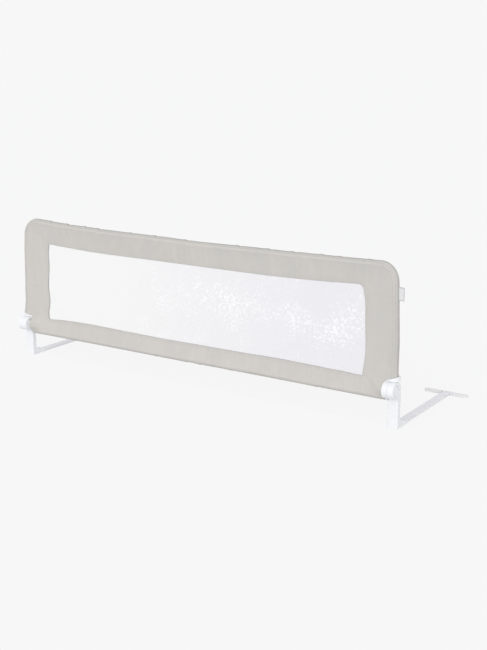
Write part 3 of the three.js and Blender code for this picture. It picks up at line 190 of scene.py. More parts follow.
def floor_material():
    made, n = material("studio_floor")
    plain = n.add("ShaderNodeBsdfDiffuse", {"Color": grey(FLOOR_GREY)})
    shaded = n.add("ShaderNodeBsdfDiffuse", {"Color": grey(FLOOR_SEEN_GREY)})
    glow = n.add("ShaderNodeEmission", {"Color": grey(1), "Strength": FLOOR_GLOW})
    pale = n.add("ShaderNodeAddShader", {0: shaded.outputs[0], 1: glow.outputs[0]})
    both = n.add("ShaderNodeMixShader", {0: n.seen(), 1: plain.outputs[0], 2: pale.outputs[0]})
    n.surface(both)
    return made


def make_object(name, verts, faces, smooth=True):
    mesh = bpy.data.meshes.new(name)
    mesh.from_pydata([tuple(v) for v in verts], [], faces)
    mesh.validate()
    mesh.polygons.foreach_set("use_smooth", [smooth] * len(mesh.polygons))
    made = bpy.data.objects.new(name, mesh)
    scene.collection.objects.link(made)
    return made


# The floor ends under the panel, as a bed base does, so that the panel can hang down outside it
FLOOR_RADIUS, FLOOR_EDGE_Y, FLOOR_TOP, FLOOR_POINTS = 60, -0.172, -0.0005, 33
ring = [
    (FLOOR_RADIUS * math.cos(a), FLOOR_RADIUS * math.sin(a) + FLOOR_EDGE_Y, FLOOR_TOP)
    for a in np.linspace(0, math.pi, FLOOR_POINTS)
]
floor = make_object("floor", ring, [list(range(FLOOR_POINTS))], False)
floor.data.materials.append(floor_material())


# Materials. Lengths in metres
TONE_CHANGE, TONE_SCALE = 0.03, 18
ROUGHNESS_CHANGE, ROUGHNESS_SCALE = 0.12, 90
GRAIN_HEIGHT = 0.0004
COAT_ROUGHNESS = 0.2
WARP_PITCH, WEFT_PITCH, WEAVE_HEIGHT = 0.0011, 0.0009, 0.00018
CLOTH_DARK, CLOTH_LIGHT = (0.540, 0.518, 0.490, 1), (0.605, 0.576, 0.547, 1)
# Painted shade: the darker tone of the cloth along its crest, seams, hem and cuffs
PAINTED_SHADE_TONE = (0.19, 0.20, 0.185, 1)
TAPE_RIB_PITCH = 0.0008
# Net: its cell, its holes' radius, its tones from left to right, the left paler as painted light,
# and where its white flecks of painted sheen gather, as centre, how fast they thin out along each
# axis, and weight
NET_CELL, NET_HOLE = (0.0022, 0.0038), 0.00083
NET_LEFT_PAINTED_LIGHT_TONE, NET_RIGHT_TONE = (0.835, 0.832, 0.83, 1), (0.695, 0.68, 0.75, 1)
SHEEN_FLECK_TONE, SHEEN_FLECK_LEVEL, SHEEN_FLECK_CONTRAST = (0.94, 0.94, 0.955, 1), 0.65, 11
SHEEN_FLECK_CLUSTERS = (
    ((0.02, 0, 0.315), (4.4, 0, 10.5), 0.145),
    ((0.17, 0, 0.285), (14.0, 0, 16.0), 0.05),
    ((0.41, 0, 0.302), (4.6, 0, 28.0), 0.105),
    ((0.49, 0, 0.262), (7.0, 0, 19.0), 0.10),
    ((0.60, 0, 0.29), (12.0, 0, 13.0), 0.08),
)


def finish_material(name, colour, roughness, grain, grain_scale, coat=0.0, metal=0.0):
    """Moulded plastic, paint, metal or rubber: fine grain in the bump, slight change in tone."""
    made, n = material(name)
    place = n.place()
    darker = tuple(c * (1 - TONE_CHANGE) for c in colour) + (1,)
    lighter = tuple(min(1, c * (1 + TONE_CHANGE)) for c in colour) + (1,)
    tone = n.mix_colour(n.noise(place, TONE_SCALE, 3), darker, lighter)
    change = n.math("MULTIPLY", n.noise(place, ROUGHNESS_SCALE, 2), ROUGHNESS_CHANGE)
    rough = n.math("ADD", change, roughness - ROUGHNESS_CHANGE / 2)
    fine = n.noise(place, grain_scale, 3, 0.6)
    bump = n.add("ShaderNodeBump", {"Height": fine, "Strength": grain, "Distance": GRAIN_HEIGHT})
    shader = n.add(
        "ShaderNodeBsdfPrincipled",
        {"Base Color": tone, "Roughness": rough, "Normal": bump.outputs[0], "Metallic": metal},
    )
    if coat:
        shader.inputs["Coat Weight"].default_value = coat
        shader.inputs["Coat Roughness"].default_value = COAT_ROUGHNESS
    n.surface(shader)
    return made


def cloth_material():
    """Plain woven polyester: two thread directions, slubs, a soft heathered tone, and painted light
    and shade.
    """
    made, n = material("woven_cloth")
    place = n.place()
    parts = n.add("ShaderNodeSeparateXYZ", {0: place})
    wobble = n.math("MULTIPLY", n.math("SUBTRACT", n.noise(place, 220, 1), 0.5), 0.9)

    def threads(across, pitch):
        turns = n.math("MULTIPLY", across, 2 * math.pi / pitch)
        return n.math("SINE", n.math("ADD", turns, wobble))

    warp = threads(parts.outputs["X"], WARP_PITCH)
    weft = threads(parts.outputs["Z"], WEFT_PITCH)
    weave = n.math("MULTIPLY", n.math("MULTIPLY", warp, weft), 0.5)
    weave = n.math("ADD", weave, n.math("MULTIPLY", n.math("ADD", warp, weft), 0.22))
    slub_x = n.noise(n.scaled(place, (60, 900, 900)), 1, 2)
    slub_z = n.noise(n.scaled(place, (900, 900, 60)), 1, 2)
    slub = n.math("MULTIPLY", n.math("SUBTRACT", n.math("ADD", slub_x, slub_z), 1.0), 0.6)
    height = n.math("ADD", weave, slub)
    tone = n.mix_colour(n.noise(place, 7, 4, 0.6), CLOTH_DARK, CLOTH_LIGHT)
    patch = n.math("SUBTRACT", n.noise(n.scaled(place, (1, 1, 0.4)), 17, 3, 0.6), 0.5)
    patch = n.clamped(n.math("ADD", n.math("MULTIPLY", patch, 3.2), 0.5))
    band = n.noise(n.scaled(place, (1, 1, 0.12)), 62, 3, 0.6)
    speck = n.noise(place, 150, 2, 0.7)
    weave_light_and_shade = n.math("ADD", n.math("MULTIPLY", height, 0.10), 0.5)
    # Greenish and pinkish patches, upright bands, specks, and painted light and shade of the weave
    for factor, dark_share, dark, light_share, light in (
        (patch, 0.20, (0.46, 0.51, 0.46), 0.19, (0.72, 0.62, 0.60)),
        (band, 0.15, (0.34, 0.33, 0.31), 0.15, (0.86, 0.83, 0.80)),
        (speck, 0.14, (0.36, 0.35, 0.33), 0.14, (0.80, 0.77, 0.74)),
        (weave_light_and_shade, 0.30, (0.32, 0.30, 0.28), 0.22, (0.82, 0.80, 0.77)),
    ):
        tone = n.shade(tone, factor, dark_share, dark, light_share, light)
    # Painted shade along the crest, the seams, the hem and the cuffs
    tone = n.mix_colour(n.attribute("painted_shade"), tone, PAINTED_SHADE_TONE)
    bump = n.add("ShaderNodeBump", {"Height": height, "Strength": 0.35, "Distance": WEAVE_HEIGHT})
    look = {"Base Color": tone, "Roughness": 0.94, "Normal": bump.outputs[0]}
    n.surface(n.add("ShaderNodeBsdfPrincipled", look))
    return made


def net_material():
    """Knitted net: round holes in two interleaved grids with thread between, painted light and
    sheen.
    """
    made, n = material("white_net")
    place = n.place()
    parts = n.add("ShaderNodeSeparateXYZ", {0: place})
    flat = {"X": parts.outputs["X"], "Y": parts.outputs["Z"]}
    flat = n.add("ShaderNodeCombineXYZ", flat).outputs[0]
    half_x, half_z = NET_CELL[0] / 2, NET_CELL[1] / 2
    holes = []
    # The shift of 10 m keeps both grids on the positive side of the modulo
    for shift in ((10.0, 10.0, 0), (10.0 + half_x, 10.0 + half_z, 0)):
        moved = n.vector("ADD", flat, shift).outputs[0]
        inside = n.vector("MODULO", moved, (*NET_CELL, 1)).outputs[0]
        centred = n.vector("SUBTRACT", inside, (half_x, half_z, 0)).outputs[0]
        holes.append(n.vector("LENGTH", centred).outputs["Value"])
    nearest = n.math("MINIMUM", *holes)
    hole = n.math("LESS_THAN", nearest, NET_HOLE)
    rise = n.math("MULTIPLY", nearest, 900)
    bump = n.add("ShaderNodeBump", {"Height": rise, "Strength": 0.5, "Distance": 0.0003})
    # Painted light: the net is painted paler towards the left
    across = n.math("MULTIPLY", n.math("ADD", parts.outputs["X"], 0.33), 1.25)
    tone = n.mix_colour(n.clamped(across), NET_LEFT_PAINTED_LIGHT_TONE, NET_RIGHT_TONE)
    tone = n.mix_colour(n.noise(place, 5, 2), tone, n.mix_colour(0.12, tone, grey(1)))
    # Painted sheen: white flecks gathered in clusters over the net
    sheen_cluster = n.math("MULTIPLY", n.math("SUBTRACT", n.noise(place, 9, 3, 0.6), 0.5), 0.45)
    for centre, thinning, weight in SHEEN_FLECK_CLUSTERS:
        away = n.vector("MULTIPLY", n.vector("SUBTRACT", place, centre).outputs[0], thinning)
        far = n.math("POWER", n.vector("LENGTH", away.outputs[0]).outputs["Value"], 2)
        near = n.math("EXPONENT", n.math("MULTIPLY", far, -1))
        sheen_cluster = n.math("ADD", sheen_cluster, n.math("MULTIPLY", near, weight))
    grain = n.noise(n.scaled(place, (1, 1, 1.25)), 104, 2, 0.55)
    sheen_fleck = n.math("SUBTRACT", n.math("ADD", grain, sheen_cluster), SHEEN_FLECK_LEVEL)
    sheen_fleck = n.clamped(n.math("MULTIPLY", sheen_fleck, SHEEN_FLECK_CONTRAST))
    tone = n.mix_colour(sheen_fleck, tone, SHEEN_FLECK_TONE)
    look = {"Base Color": tone, "Roughness": 0.8, "Normal": bump.outputs[0]}
    knit = n.add("ShaderNodeBsdfPrincipled", look)
    clear = n.add("ShaderNodeBsdfTransparent", {"Color": grey(1)})
    both = n.add("ShaderNodeMixShader", {0: hole, 1: knit.outputs[0], 2: clear.outputs[0]})
    n.surface(both)
    return made


def thread_material():
    """Sewing thread: a twist of two tones."""
    made, n = material("sewing_thread")
    twist = n.noise(n.place(), 2500, 1)
    tone = n.mix_colour(twist, (0.50, 0.475, 0.445, 1), (0.66, 0.635, 0.60, 1))
    n.surface(n.add("ShaderNodeBsdfPrincipled", {"Base Color": tone, "Roughness": 0.6}))
    return made


def tape_material():
    """Blank woven tape of the side tag: fine ribs across it and a darker rim."""
    made, n = material("woven_tape")
    place = n.place()
    up = n.add("ShaderNodeSeparateXYZ", {0: place}).outputs["Z"]
    ribs = n.math("SINE", n.math("MULTIPLY", up, 2 * math.pi / TAPE_RIB_PITCH))
    bump = n.add("ShaderNodeBump", {"Height": ribs, "Strength": 0.4, "Distance": 0.0001})
    tone = n.mix_colour(n.noise(place, 60, 2), (0.70, 0.70, 0.71, 1), (0.78, 0.78, 0.79, 1))
    tone = n.mix_colour(n.attribute("rim"), tone, (0.50, 0.50, 0.51, 1))
    look = {"Base Color": tone, "Roughness": 0.65, "Normal": bump.outputs[0]}
    n.surface(n.add("ShaderNodeBsdfPrincipled", look))
    return made


cloth = cloth_material()
net = net_material()
thread = thread_material()
tape = tape_material()
finishes = {"greige_cloth": cloth, "white_netting": net, "tag_cloth": tape}
# Slot, colour, roughness, strength and scale of the grain, clear coat and metal
for slot, colour, roughness, grain, grain_scale, coat, metal in (
    ("white_plastic", (0.842, 0.852, 0.872), 0.45, 0.25, 2600, 0.0, 0.0),
    ("grey_plastic", (0.66, 0.68, 0.70), 0.5, 0.25, 2600, 0.0, 0.0),
    ("painted_steel", (0.765, 0.755, 0.80), 0.40, 0.18, 900, 0.3, 0.0),
    ("zinc_steel", (0.55, 0.56, 0.57), 0.35, 0.3, 1800, 0.0, 0.9),
    ("spring_steel", (0.4, 0.41, 0.42), 0.3, 0.2, 1800, 0.0, 0.95),
    ("pale_rubber", (0.79, 0.79, 0.795), 0.75, 0.5, 1500, 0.0, 0.0),
):
    finishes[slot] = finish_material(slot, colour, roughness, grain, grain_scale, coat, metal)
slot_of = {s["node"]: s["material_slot"] for s in frame["record"]["subparts"]}
for name, node in nodes.items():
    node.data.materials.clear()
    node.data.materials.append(finishes[slot_of[name]])


# Millimetres by which each kind of piece has its edges rounded
EDGE_ROUNDS = {
    "leg": 0.9,
    "hinge_housing": 0.8,
    "housing_cover": 0.4,
    "release_button": 0.25,
    "arm": 0.3,
    "crossbar": 0.5,
    "crossbar_sleeve_outer": 0.9,
    "crossbar_sleeve_inner": 0.9,
}
# Degrees under which faces count as one flat face, and over which an edge counts as sharp
FLAT_ANGLE, SHARP_ANGLE = 0.8, 30


def polish(name, width):
    """Rounds the sharp edges of a CAD node with modifiers and shades it smoothly."""
    node = nodes[name]
    node.data.polygons.foreach_set("use_smooth", [True] * len(node.data.polygons))
    weld = node.modifiers.new("weld", "WELD")
    weld.merge_threshold = 0.00001
    flat = node.modifiers.new("flat", "DECIMATE")
    flat.decimate_type = "DISSOLVE"
    flat.angle_limit = math.radians(FLAT_ANGLE)
    bevel = node.modifiers.new("edges", "BEVEL")
    bevel.width = width * MM
    bevel.segments = 2
    bevel.limit_method = "ANGLE"
    bevel.angle_limit = math.radians(SHARP_ANGLE)
    bevel.harden_normals = True
    normals = node.modifiers.new("normals", "WEIGHTED_NORMAL")
    normals.keep_sharp = True


for side in ("right", "left"):
    for kind, rounding in EDGE_ROUNDS.items():
        polish(kind + "_" + side, rounding)

# Each spring gets a mesh of its own; its length along the rail, or its depth for the leaf springs,
# is measured but not used
for side, sign in (("right", 1), ("left", -1)):
    coil, joint = "lock_spring_" + side, "release_button_" + side + "_press"
    low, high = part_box(coil)
    length = high[0] - low[0]
    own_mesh(nodes[coil])
for leaf, joint in (
    ("top_snap_spring_right", "top_snap_right_press"),
    ("top_snap_spring_left", "top_snap_left_press"),
    ("bottom_snap_spring", "bottom_snap_press"),
):
    low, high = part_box(leaf)
    depth = high[1] - low[1]
    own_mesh(nodes[leaf])

# Cloth cover. Sizes in millimetres in the panel's plane, X along the rail and Z up
PLANE_Y = -181.0
HALF, BOTTOM, TOP = 750.0, 82.5, 507.0
WIN_X, WIN_BOTTOM, WIN_TOP = 630.0, 146.5, 426.0
ROUND = 13.5
CORNER, LOW_CORNER = 57.0, 28.0
FILLETS = {"low_right": 6.0, "top_right": 18.0, "top_left": 7.0, "low_left": 6.0}
HEM_HALF = 1.8
SAG, LEAN, BEND_X = 9.0, 6.0, 693.0
LEAN_FROM, LEAN_OVER = 300, 149.5
SMOOTH_STEPS = 7
# The notch over each hinge: its inner edge, and how its upper edge rises outwards
NOTCH_RIGHT, NOTCH_LEFT = 716.6, 721.5
NOTCH_HEIGHT, NOTCH_RISE, NOTCH_RUN = 148.2, 15.8, 40.4
# The swelling of the front layer round the hinge
HINGE_HEIGHT, SWELL_OUT, SWELL_REACH, SWELL_SOFTNESS = 119, 24.8, 26, 6
# How near the cloth may come to a tube's axis
CLOTH_CLEARANCE = 11.6
# Seams: the edge seam's distance from the edge, how much more it is on the uprights, the second
# seam's distance from the first, and the hem seam's distance from the hem
SEAM_IN, SEAM_IN_SIDE, SECOND_SEAM, HEM_SEAM = 5.2, 1.8, 7.5, 7.0
CLOTH_THICKNESS, TAPE_THICKNESS = 0.9, 0.4

# Where the stretched cloth's edges run: the window's four edges, and how far the outer edge stands
# off the tubes' plain line. Most of the places were copied from what a tracing program printed of
# the photograph's edges, and then shifted to bring the render's edges nearer to them.
WINDOW_TOP_LINE = [
    (-640, 424.8), (-616, 423.3), (-578, 421.3), (-503, 418.3), (-429, 415.9), (-356, 415.1),
    (-181, 415.5), (0, 415.3), (205, 415.1), (325, 416.1), (411, 418.1), (496, 420.8),
    (551, 423.6), (605, 426.3), (640, 427.3),
]
WINDOW_LOW_LINE = [
    (-650, 144.2), (-620, 146.2), (-590, 149.5), (-513, 152), (-438, 152.7), (-328, 151),
    (-187, 149.2), (-118, 148.3), (0, 149.1), (143, 149.2), (266, 150.7), (356, 151.4),
    (472, 149.3), (583, 147.3), (640, 144.7),
]
WINDOW_LEFT_LINE = [
    (140, 640), (165, 643.5), (180, 644), (195, 637), (210, 631.8), (240, 638), (284, 640.2),
    (314, 635.4), (343, 632.6), (387, 635.7), (402, 634), (430, 629),
]
WINDOW_RIGHT_LINE = [
    (140, 630.3), (169, 636.2), (201, 640.2), (232, 642.4), (278, 640.4), (324, 639.2),
    (370, 638.6), (400, 634), (430, 626.2),
]
TOP_STAND = [
    (-750, 0.6), (-720, 1.6), (-690, 4.3), (-641, 3.3), (-603, 1.5), (-565, 0.9), (-527, -0.5),
    (-453, 0.2), (-381, -1.1), (-274, -0.3), (-171, 0.4), (-104, 0.7), (-38, -0.7), (26, -1.4),
    (121, -0.4), (243, 0.4), (302, -0.2), (389, -1.7), (417, -0.6), (446, -1.5), (474, -0.7),
    (529, -1.8), (610, -1.8), (690, -1.8), (750, -1.5),
]
LOW_STAND = [
    (-750, -1), (-650, -1.9), (-450, -2.1), (-300, -1.8), (-160, -1.2), (-27, -1), (6, -2.1),
    (39, -1), (71, -2), (166, -1.8), (228, -2.7), (289, -2.8), (319, -2.7), (379, -1.7),
    (494, -1.4), (750, -1.4),
]
LEFT_STAND = [
    (90, 0), (140, 1.5), (158, 3), (175, 4.6), (190, 2.6), (205, 1.2), (251, 0.8), (270, -1),
    (345, 0.2), (400, 1.2), (475, -0.6), (500, 0),
]
RIGHT_STAND = [
    (90, 0), (200, 0), (262, 1), (292, 0.3), (340, 0), (382, 0.6), (441, 0.8), (475, -0.8),
    (500, -1),
]


def notch_top(away):
    """Height of the notch over the hinge, whose upper edge slants up outwards."""
    return NOTCH_HEIGHT + NOTCH_RISE * (away - NOTCH_RIGHT) / NOTCH_RUN


def edge_line(places, at, smooth=18.0):
    """Smooth value of a line through a table's places."""
    at = np.asarray(at, float)
    total = np.zeros(at.shape)
    for shift in np.linspace(-1, 1, SMOOTH_STEPS):
        total += np.interp(at + shift * smooth, [p[0] for p in places], [p[1] for p in places])
    return total / SMOOTH_STEPS


def soft_step(value, start, end):
    """0 before start, 1 after end and smooth between them."""
    share = np.clip((value - start) / (end - start), 0, 1)
    return share * share * (3 - 2 * share)


def sag_at(x):
    """How far the top line hangs down at a place along the rail."""
    total = np.zeros(np.shape(x))
    for shift in np.linspace(-24, 24, SMOOTH_STEPS):
        total += SAG * np.cos(math.pi / 2 * np.clip(np.abs(x + shift) / BEND_X, 0, 1))
    return total / SMOOTH_STEPS


def outer_path(step):
    """Points round the cover's outer edge before the cloth's pull, from the bottom's middle."""
    points = []

    def line(x0, z0, x1, z1):
        count = max(1, round(math.hypot(x1 - x0, z1 - z0) / step))
        for k in range(count):
            points.append((x0 + (x1 - x0) * k / count, z0 + (z1 - z0) * k / count))

    def arc(cx, cz, radius, start):
        count = max(5, round(radius * math.pi / 2 / (step * 0.7)))
        for k in range(count):
            a = math.radians(start + 90 * k / count)
            points.append((cx + radius * math.cos(a), cz + radius * math.sin(a)))

    line(0, BOTTOM, HALF - LOW_CORNER, BOTTOM)
    arc(HALF - LOW_CORNER, BOTTOM + LOW_CORNER, LOW_CORNER, -90)
    line(HALF, BOTTOM + LOW_CORNER, HALF, TOP - CORNER)
    arc(HALF - CORNER, TOP - CORNER, CORNER, 0)
    line(HALF - CORNER, TOP, CORNER - HALF, TOP)
    arc(CORNER - HALF, TOP - CORNER, CORNER, 90)
    line(-HALF, TOP - CORNER, -HALF, BOTTOM + LOW_CORNER)
    arc(LOW_CORNER - HALF, BOTTOM + LOW_CORNER, LOW_CORNER, 180)
    line(LOW_CORNER - HALF, BOTTOM, 0, BOTTOM)
    return np.array(points)


def inward_of(points):
    """Direction in the panel's plane that points in from a closed edge."""
    along = np.roll(points, -1, 0) - np.roll(points, 1, 0)
    inward = np.stack([-along[:, 1], along[:, 0]], 1)
    return inward / np.linalg.norm(inward, axis=1)[:, None]


def pull_tubes(points):
    """Moves the plain outer edge as the tubes bend."""
    x, z = points[:, 0], points[:, 1]
    shifts = np.linspace(-30, 30, SMOOTH_STEPS)
    lean = np.mean([np.clip((z + shift - LEAN_FROM) / LEAN_OVER, 0, 1) for shift in shifts], 0)
    lean = LEAN * lean * soft_step(np.abs(x), 610, 700)
    return np.stack([x - np.sign(x) * lean, z - sag_at(x) * (z > LEAN_FROM)], 1)


def pull_outer(points):
    """Moves the plain outer edge as the tubes bend and the cloth stands off them."""
    x, z = points[:, 0], points[:, 1]
    inward = inward_of(points)
    on_top = np.clip(-inward[:, 1], 0, 1) ** 2
    on_low = np.clip(inward[:, 1], 0, 1) ** 2
    on_left = np.clip(inward[:, 0], 0, 1) ** 2
    on_right = np.clip(-inward[:, 0], 0, 1) ** 2
    stand = on_top * edge_line(TOP_STAND, x, 10) + on_low * edge_line(LOW_STAND, x, 10)
    stand += on_left * edge_line(LEFT_STAND, z, 8) + on_right * edge_line(RIGHT_STAND, z, 8)
    return pull_tubes(points) - inward * stand[:, None]


# Each window corner: its round's centre on the plain lines and on the stretched ones
window_corners = {}
for name, px, pz in (
    ("low_right", WIN_X, WIN_BOTTOM),
    ("top_right", WIN_X, WIN_TOP),
    ("top_left", -WIN_X, WIN_TOP),
    ("low_left", -WIN_X, WIN_BOTTOM),
):
    right, top = (1 if name.endswith("right") else -1), (1 if name.startswith("top") else -1)
    in_x, in_z = FILLETS[name] * right, FILLETS[name] * top
    cx, cz = px - in_x, pz - in_z
    corner_x = float(edge_line(WINDOW_RIGHT_LINE if right > 0 else WINDOW_LEFT_LINE, cz)) * right
    corner_z = float(edge_line(WINDOW_TOP_LINE if top > 0 else WINDOW_LOW_LINE, cx))
    window_corners[name] = (cx, cz, corner_x - in_x, corner_z - in_z)


def window_point(x, z):
    """The window edge's point that belongs to a point of the plain outer edge."""
    for name, (cx, cz, ox, oz) in window_corners.items():
        right, top = name.endswith("right"), name.startswith("top")
        if (x >= cx if right else x <= cx) and (z >= cz if top else z <= cz):
            a = math.atan2(z - cz, x - cx)
            return ox + FILLETS[name] * math.cos(a), oz + FILLETS[name] * math.sin(a)
    level, side = "low" if z <= BOTTOM + 1 else "top", "right" if x > 0 else "left"
    if z <= BOTTOM + 1 or z >= TOP - 1:
        ends = [window_corners[level + "_left"], window_corners[level + "_right"]]
        x = float(np.interp(x, [e[0] for e in ends], [e[2] for e in ends]))
        return x, float(edge_line(WINDOW_TOP_LINE if level == "top" else WINDOW_LOW_LINE, x))
    ends = [window_corners["low_" + side], window_corners["top_" + side]]
    z = float(np.interp(z, [e[1] for e in ends], [e[3] for e in ends]))
    if x > 0:
        return float(edge_line(WINDOW_RIGHT_LINE, z)), z
    return -float(edge_line(WINDOW_LEFT_LINE, z)), z


def bump_line(distance, place, width):
    """A soft ridge of height 1 at a place."""
    return np.exp(-(((distance - place) / width) ** 2))


def cloud_at(points, size, seed):
    """Smooth noise whose waves are about as long as size."""
    shift = Vector((seed * 7.3, seed * 3.1, seed * 5.7))
    return np.array([noise.noise(Vector(p) / size + shift) for p in points])


# Places along the top and bottom edges where the thread pulls the cloth in
TOP_PUCKERS = [-608, -530, -448, -389, -244, -141, -14, 190, 306, 395, 500, 559, 664]
LOW_PUCKERS = [-511, -137, -11, 43, 95, 166, 278, 357, 487]
EDGE_STEP = 4.0
plain_outer = outer_path(EDGE_STEP)
inner = np.array([window_point(x, z) for x, z in plain_outer])
outer = pull_outer(plain_outer)
square = inward_of(outer)
# Where the sheet's columns run: round the tube, near the crest, across the middle, near the hem,
# and in the hem's turned-in strip, as distance past the hem and half the gap there
round_angles = np.radians(np.linspace(0, 90, 22))
near_crest = [0.5, 1.0, 1.5, 2.1, 3.0, 3.9, 4.5, 5.1, 6.2, 8.0]
MIDDLE = 12
near_hem = [11.0, 9.4, 8.4, 7.6, 7.0, 6.4, 5.4, 3.6, 1.8, 0.6, 0.0]
turned_strip = ((-0.5, 1.15), (1.0, 0.85), (6.0, 0.85))
# What counts as the hem's distance for the cloth round the tube: so far that no hem effect acts
FAR = 99
count = len(outer)
crest = outer + square * ROUND
flat = inner - crest
width = np.linalg.norm(flat, axis=1)
# Each column: its places, half the cover's thickness, distance from the edge and from the hem
columns = []
for a in round_angles:
    deep, half = ROUND * (1 - math.cos(a)), np.full(count, ROUND * math.sin(a))
    columns.append((outer + square * deep, half, np.full(count, deep), width + FAR))
shares = []
room = width - near_hem[0] - near_crest[-1]
for d in near_crest:
    shares.append(d / width)
for k in range(1, MIDDLE):
    shares.append((near_crest[-1] + room * k / MIDDLE) / width)
for e in near_hem:
    shares.append(1 - e / width)
for share in shares:
    place = crest + flat * share[:, None]
    half = ROUND + (HEM_HALF - ROUND) * share**0.8
    columns.append((place, half, ROUND + width * share, width * (1 - share)))
# The hem turns in between the two layers
turned = flat / width[:, None]
for out, half in turned_strip:
    place = inner - turned * out
    columns.append((place, np.full(count, half), ROUND + width + 9, np.full(count, -out)))
depth = np.stack([c[2] for c in columns], 1)
from_hem = np.stack([c[3] for c in columns], 1)
flat_place = np.stack([c[0] for c in columns], 1)
halves = np.stack([c[1] for c in columns], 1)
turned_in = np.zeros(len(columns), bool)
turned_in[-len(turned_strip) :] = True


def sheet_grid(sign):
    """The front layer's points for -1 and the back layer's for 1."""
    return np.dstack([flat_place[:, :, 0], PLANE_Y + sign * halves, flat_place[:, :, 1]])


front, back = sheet_grid(-1), sheet_grid(1)
# The front layer goes round the hinge where it enters the cover
swell = SWELL_OUT * np.exp(-(((front[:, :, 2] - HINGE_HEIGHT) / SWELL_REACH) ** 2))
swell = swell - (PLANE_Y - front[:, :, 1])
swell = (swell + np.sqrt(swell**2 + SWELL_SOFTNESS)) / 2
swell *= soft_step(front[:, :, 2], 84, 96) * (1 - soft_step(front[:, :, 2], 140, 170))
front[:, :, 1] -= swell * soft_step(np.abs(front[:, :, 0]), 650, 712) * ~turned_in
# Both layers as one grid, with D the distance from the outer edge and E that from the hem
grid = np.concatenate([front[:, ::-1], back[:, 1:]], 1)
D = np.concatenate([depth[:, ::-1], depth[:, 1:]], 1)
E = np.concatenate([from_hem[:, ::-1], from_hem[:, 1:]], 1)
hidden = np.concatenate([turned_in[::-1], turned_in[1:]])


def grid_normals(g):
    along = np.roll(g, -1, 0) - np.roll(g, 1, 0)
    across = np.gradient(g, axis=1)
    normal = np.cross(across, along)
    return normal / np.maximum(np.linalg.norm(normal, axis=2, keepdims=True), 1e-9)


normal = grid_normals(grid)
middle_normal = normal[:, len(columns) - 1]
if (middle_normal[:, [0, 2]] * square).sum() > 0:
    normal = -normal
X, Z = grid[:, :, 0], grid[:, :, 2]
outer_x = np.repeat(plain_outer[:, 0:1], grid.shape[1], 1)
outer_z = np.repeat(plain_outer[:, 1:2], grid.shape[1], 1)
on_side = np.clip((np.abs(X) - (HALF - 90)) / 50, 0, 1)
# How far the cloth stands out from the plain sheet. First the grooves of the seams, and the hem
lift = np.zeros(X.shape)
seam_place = SEAM_IN + SEAM_IN_SIDE * on_side
lift -= 0.55 * bump_line(D, seam_place, 0.9)
lift -= 0.5 * bump_line(D, seam_place + SECOND_SEAM, 0.9) * on_side
lift -= 0.35 * bump_line(D, 29, 1.6) * on_side * (X < 0)
lift += 0.2 * np.clip((9.0 - E) / 1.2, 0, 1) * (E >= 0)
lift -= 0.25 * bump_line(E, HEM_SEAM, 0.8)
lift -= 0.15 * bump_line(E, 9.6, 0.9)
# Long and short waves, weaker near the hem and the edge
flat_points = grid.reshape(-1, 3)
fade = np.clip(E / 14, 0, 1) * np.clip(D / 6, 0.25, 1)
for height, size, seed in ((0.95, 62, 1), (0.45, 23, 2)):
    lift += height * fade * cloud_at(flat_points * (1, 3, 1), size, seed).reshape(X.shape)
# Slanting pulls across the top and bottom borders
for low, high, seen_on, slope, length, height in (
    (-470, 60, TOP, 0.7, 46, 0.9),
    (250, 560, TOP, -0.6, 58, 0.5),
    (-330, 120, BOTTOM, 0.8, 42, 0.8),
    (300, 600, BOTTOM, 0.5, 50, 0.5),
):
    window = np.clip((X - low) / 90, 0, 1) * np.clip((high - X) / 90, 0, 1)
    window = window * (np.abs(outer_z - seen_on) < 1)
    folds = np.sin(2 * math.pi * (X - slope * (Z - seen_on)) / length + 1.7 * np.sin(X / 71))
    lift += height * window * fade * np.clip(folds, -0.4, 1) * np.clip((D - 8) / 14, 0, 1)
# Gathers where the stitching pulls the edge in
pull = np.zeros(X.shape)
for places, edge in ((TOP_PUCKERS, TOP), (LOW_PUCKERS, BOTTOM)):
    for number, place in enumerate(places):
        away = outer_x - place
        on_edge = np.abs(outer_z - edge) < 1
        near = np.exp(-((away / 4.0) ** 2)) - 0.8 * np.exp(-(((away + 13) / 8.0) ** 2))
        near = near * on_edge
        size = 2.0 if edge == TOP else 1.3
        size *= (0.8, 1.0, 0.7, 0.9)[number % 4]
        pull += size * near * np.exp(-D / 9)
        ray = away / (5.0 + 0.28 * D)
        fold = np.cos(2.2 * ray) * np.exp(-((ray / 2.2) ** 2)) * np.exp(-D / 26) * on_edge
        lift += 0.75 * size * fold * np.clip((D - 3) / 8, 0, 1) * fade
# Level creases across the uprights, where the cover was folded in its pack
for low, high, level, slope, depth_here in (
    (-740, -640, 365, 0.02, 0.55),
    (-740, -640, 263, -0.03, 0.5),
    (-735, -655, 212, 0.05, 0.35),
    (640, 742, 352, 0.04, 0.4),
    (645, 742, 238, -0.05, 0.4),
    (640, 735, 196, 0.03, 0.3),
):
    span = soft_step(X, low - 6, low + 18) * (1 - soft_step(X, high - 18, high + 6))
    lift -= depth_here * span * bump_line(Z, level + slope * (X - low), 2.4)
    lift += 0.5 * depth_here * span * bump_line(Z, level + 6 + slope * (X - low), 3.2)
# Corner creases run from the window's corners outwards
for cx, cz in ((WIN_X, WIN_TOP), (-WIN_X, WIN_TOP), (WIN_X, WIN_BOTTOM), (-WIN_X, WIN_BOTTOM)):
    far = np.hypot(X - cx, Z - cz)
    turn = np.arctan2(np.abs(Z - cz), np.abs(X - cx))
    beyond_x, beyond_z = X * np.sign(cx) - abs(cx), (Z - cz) * (1 if cz == WIN_TOP else -1)
    outside = soft_step(beyond_x, 4, 22) * soft_step(beyond_z, 0, 16)
    lift += 0.8 * outside * np.exp(-far / 50) * np.sin(turn * 9)
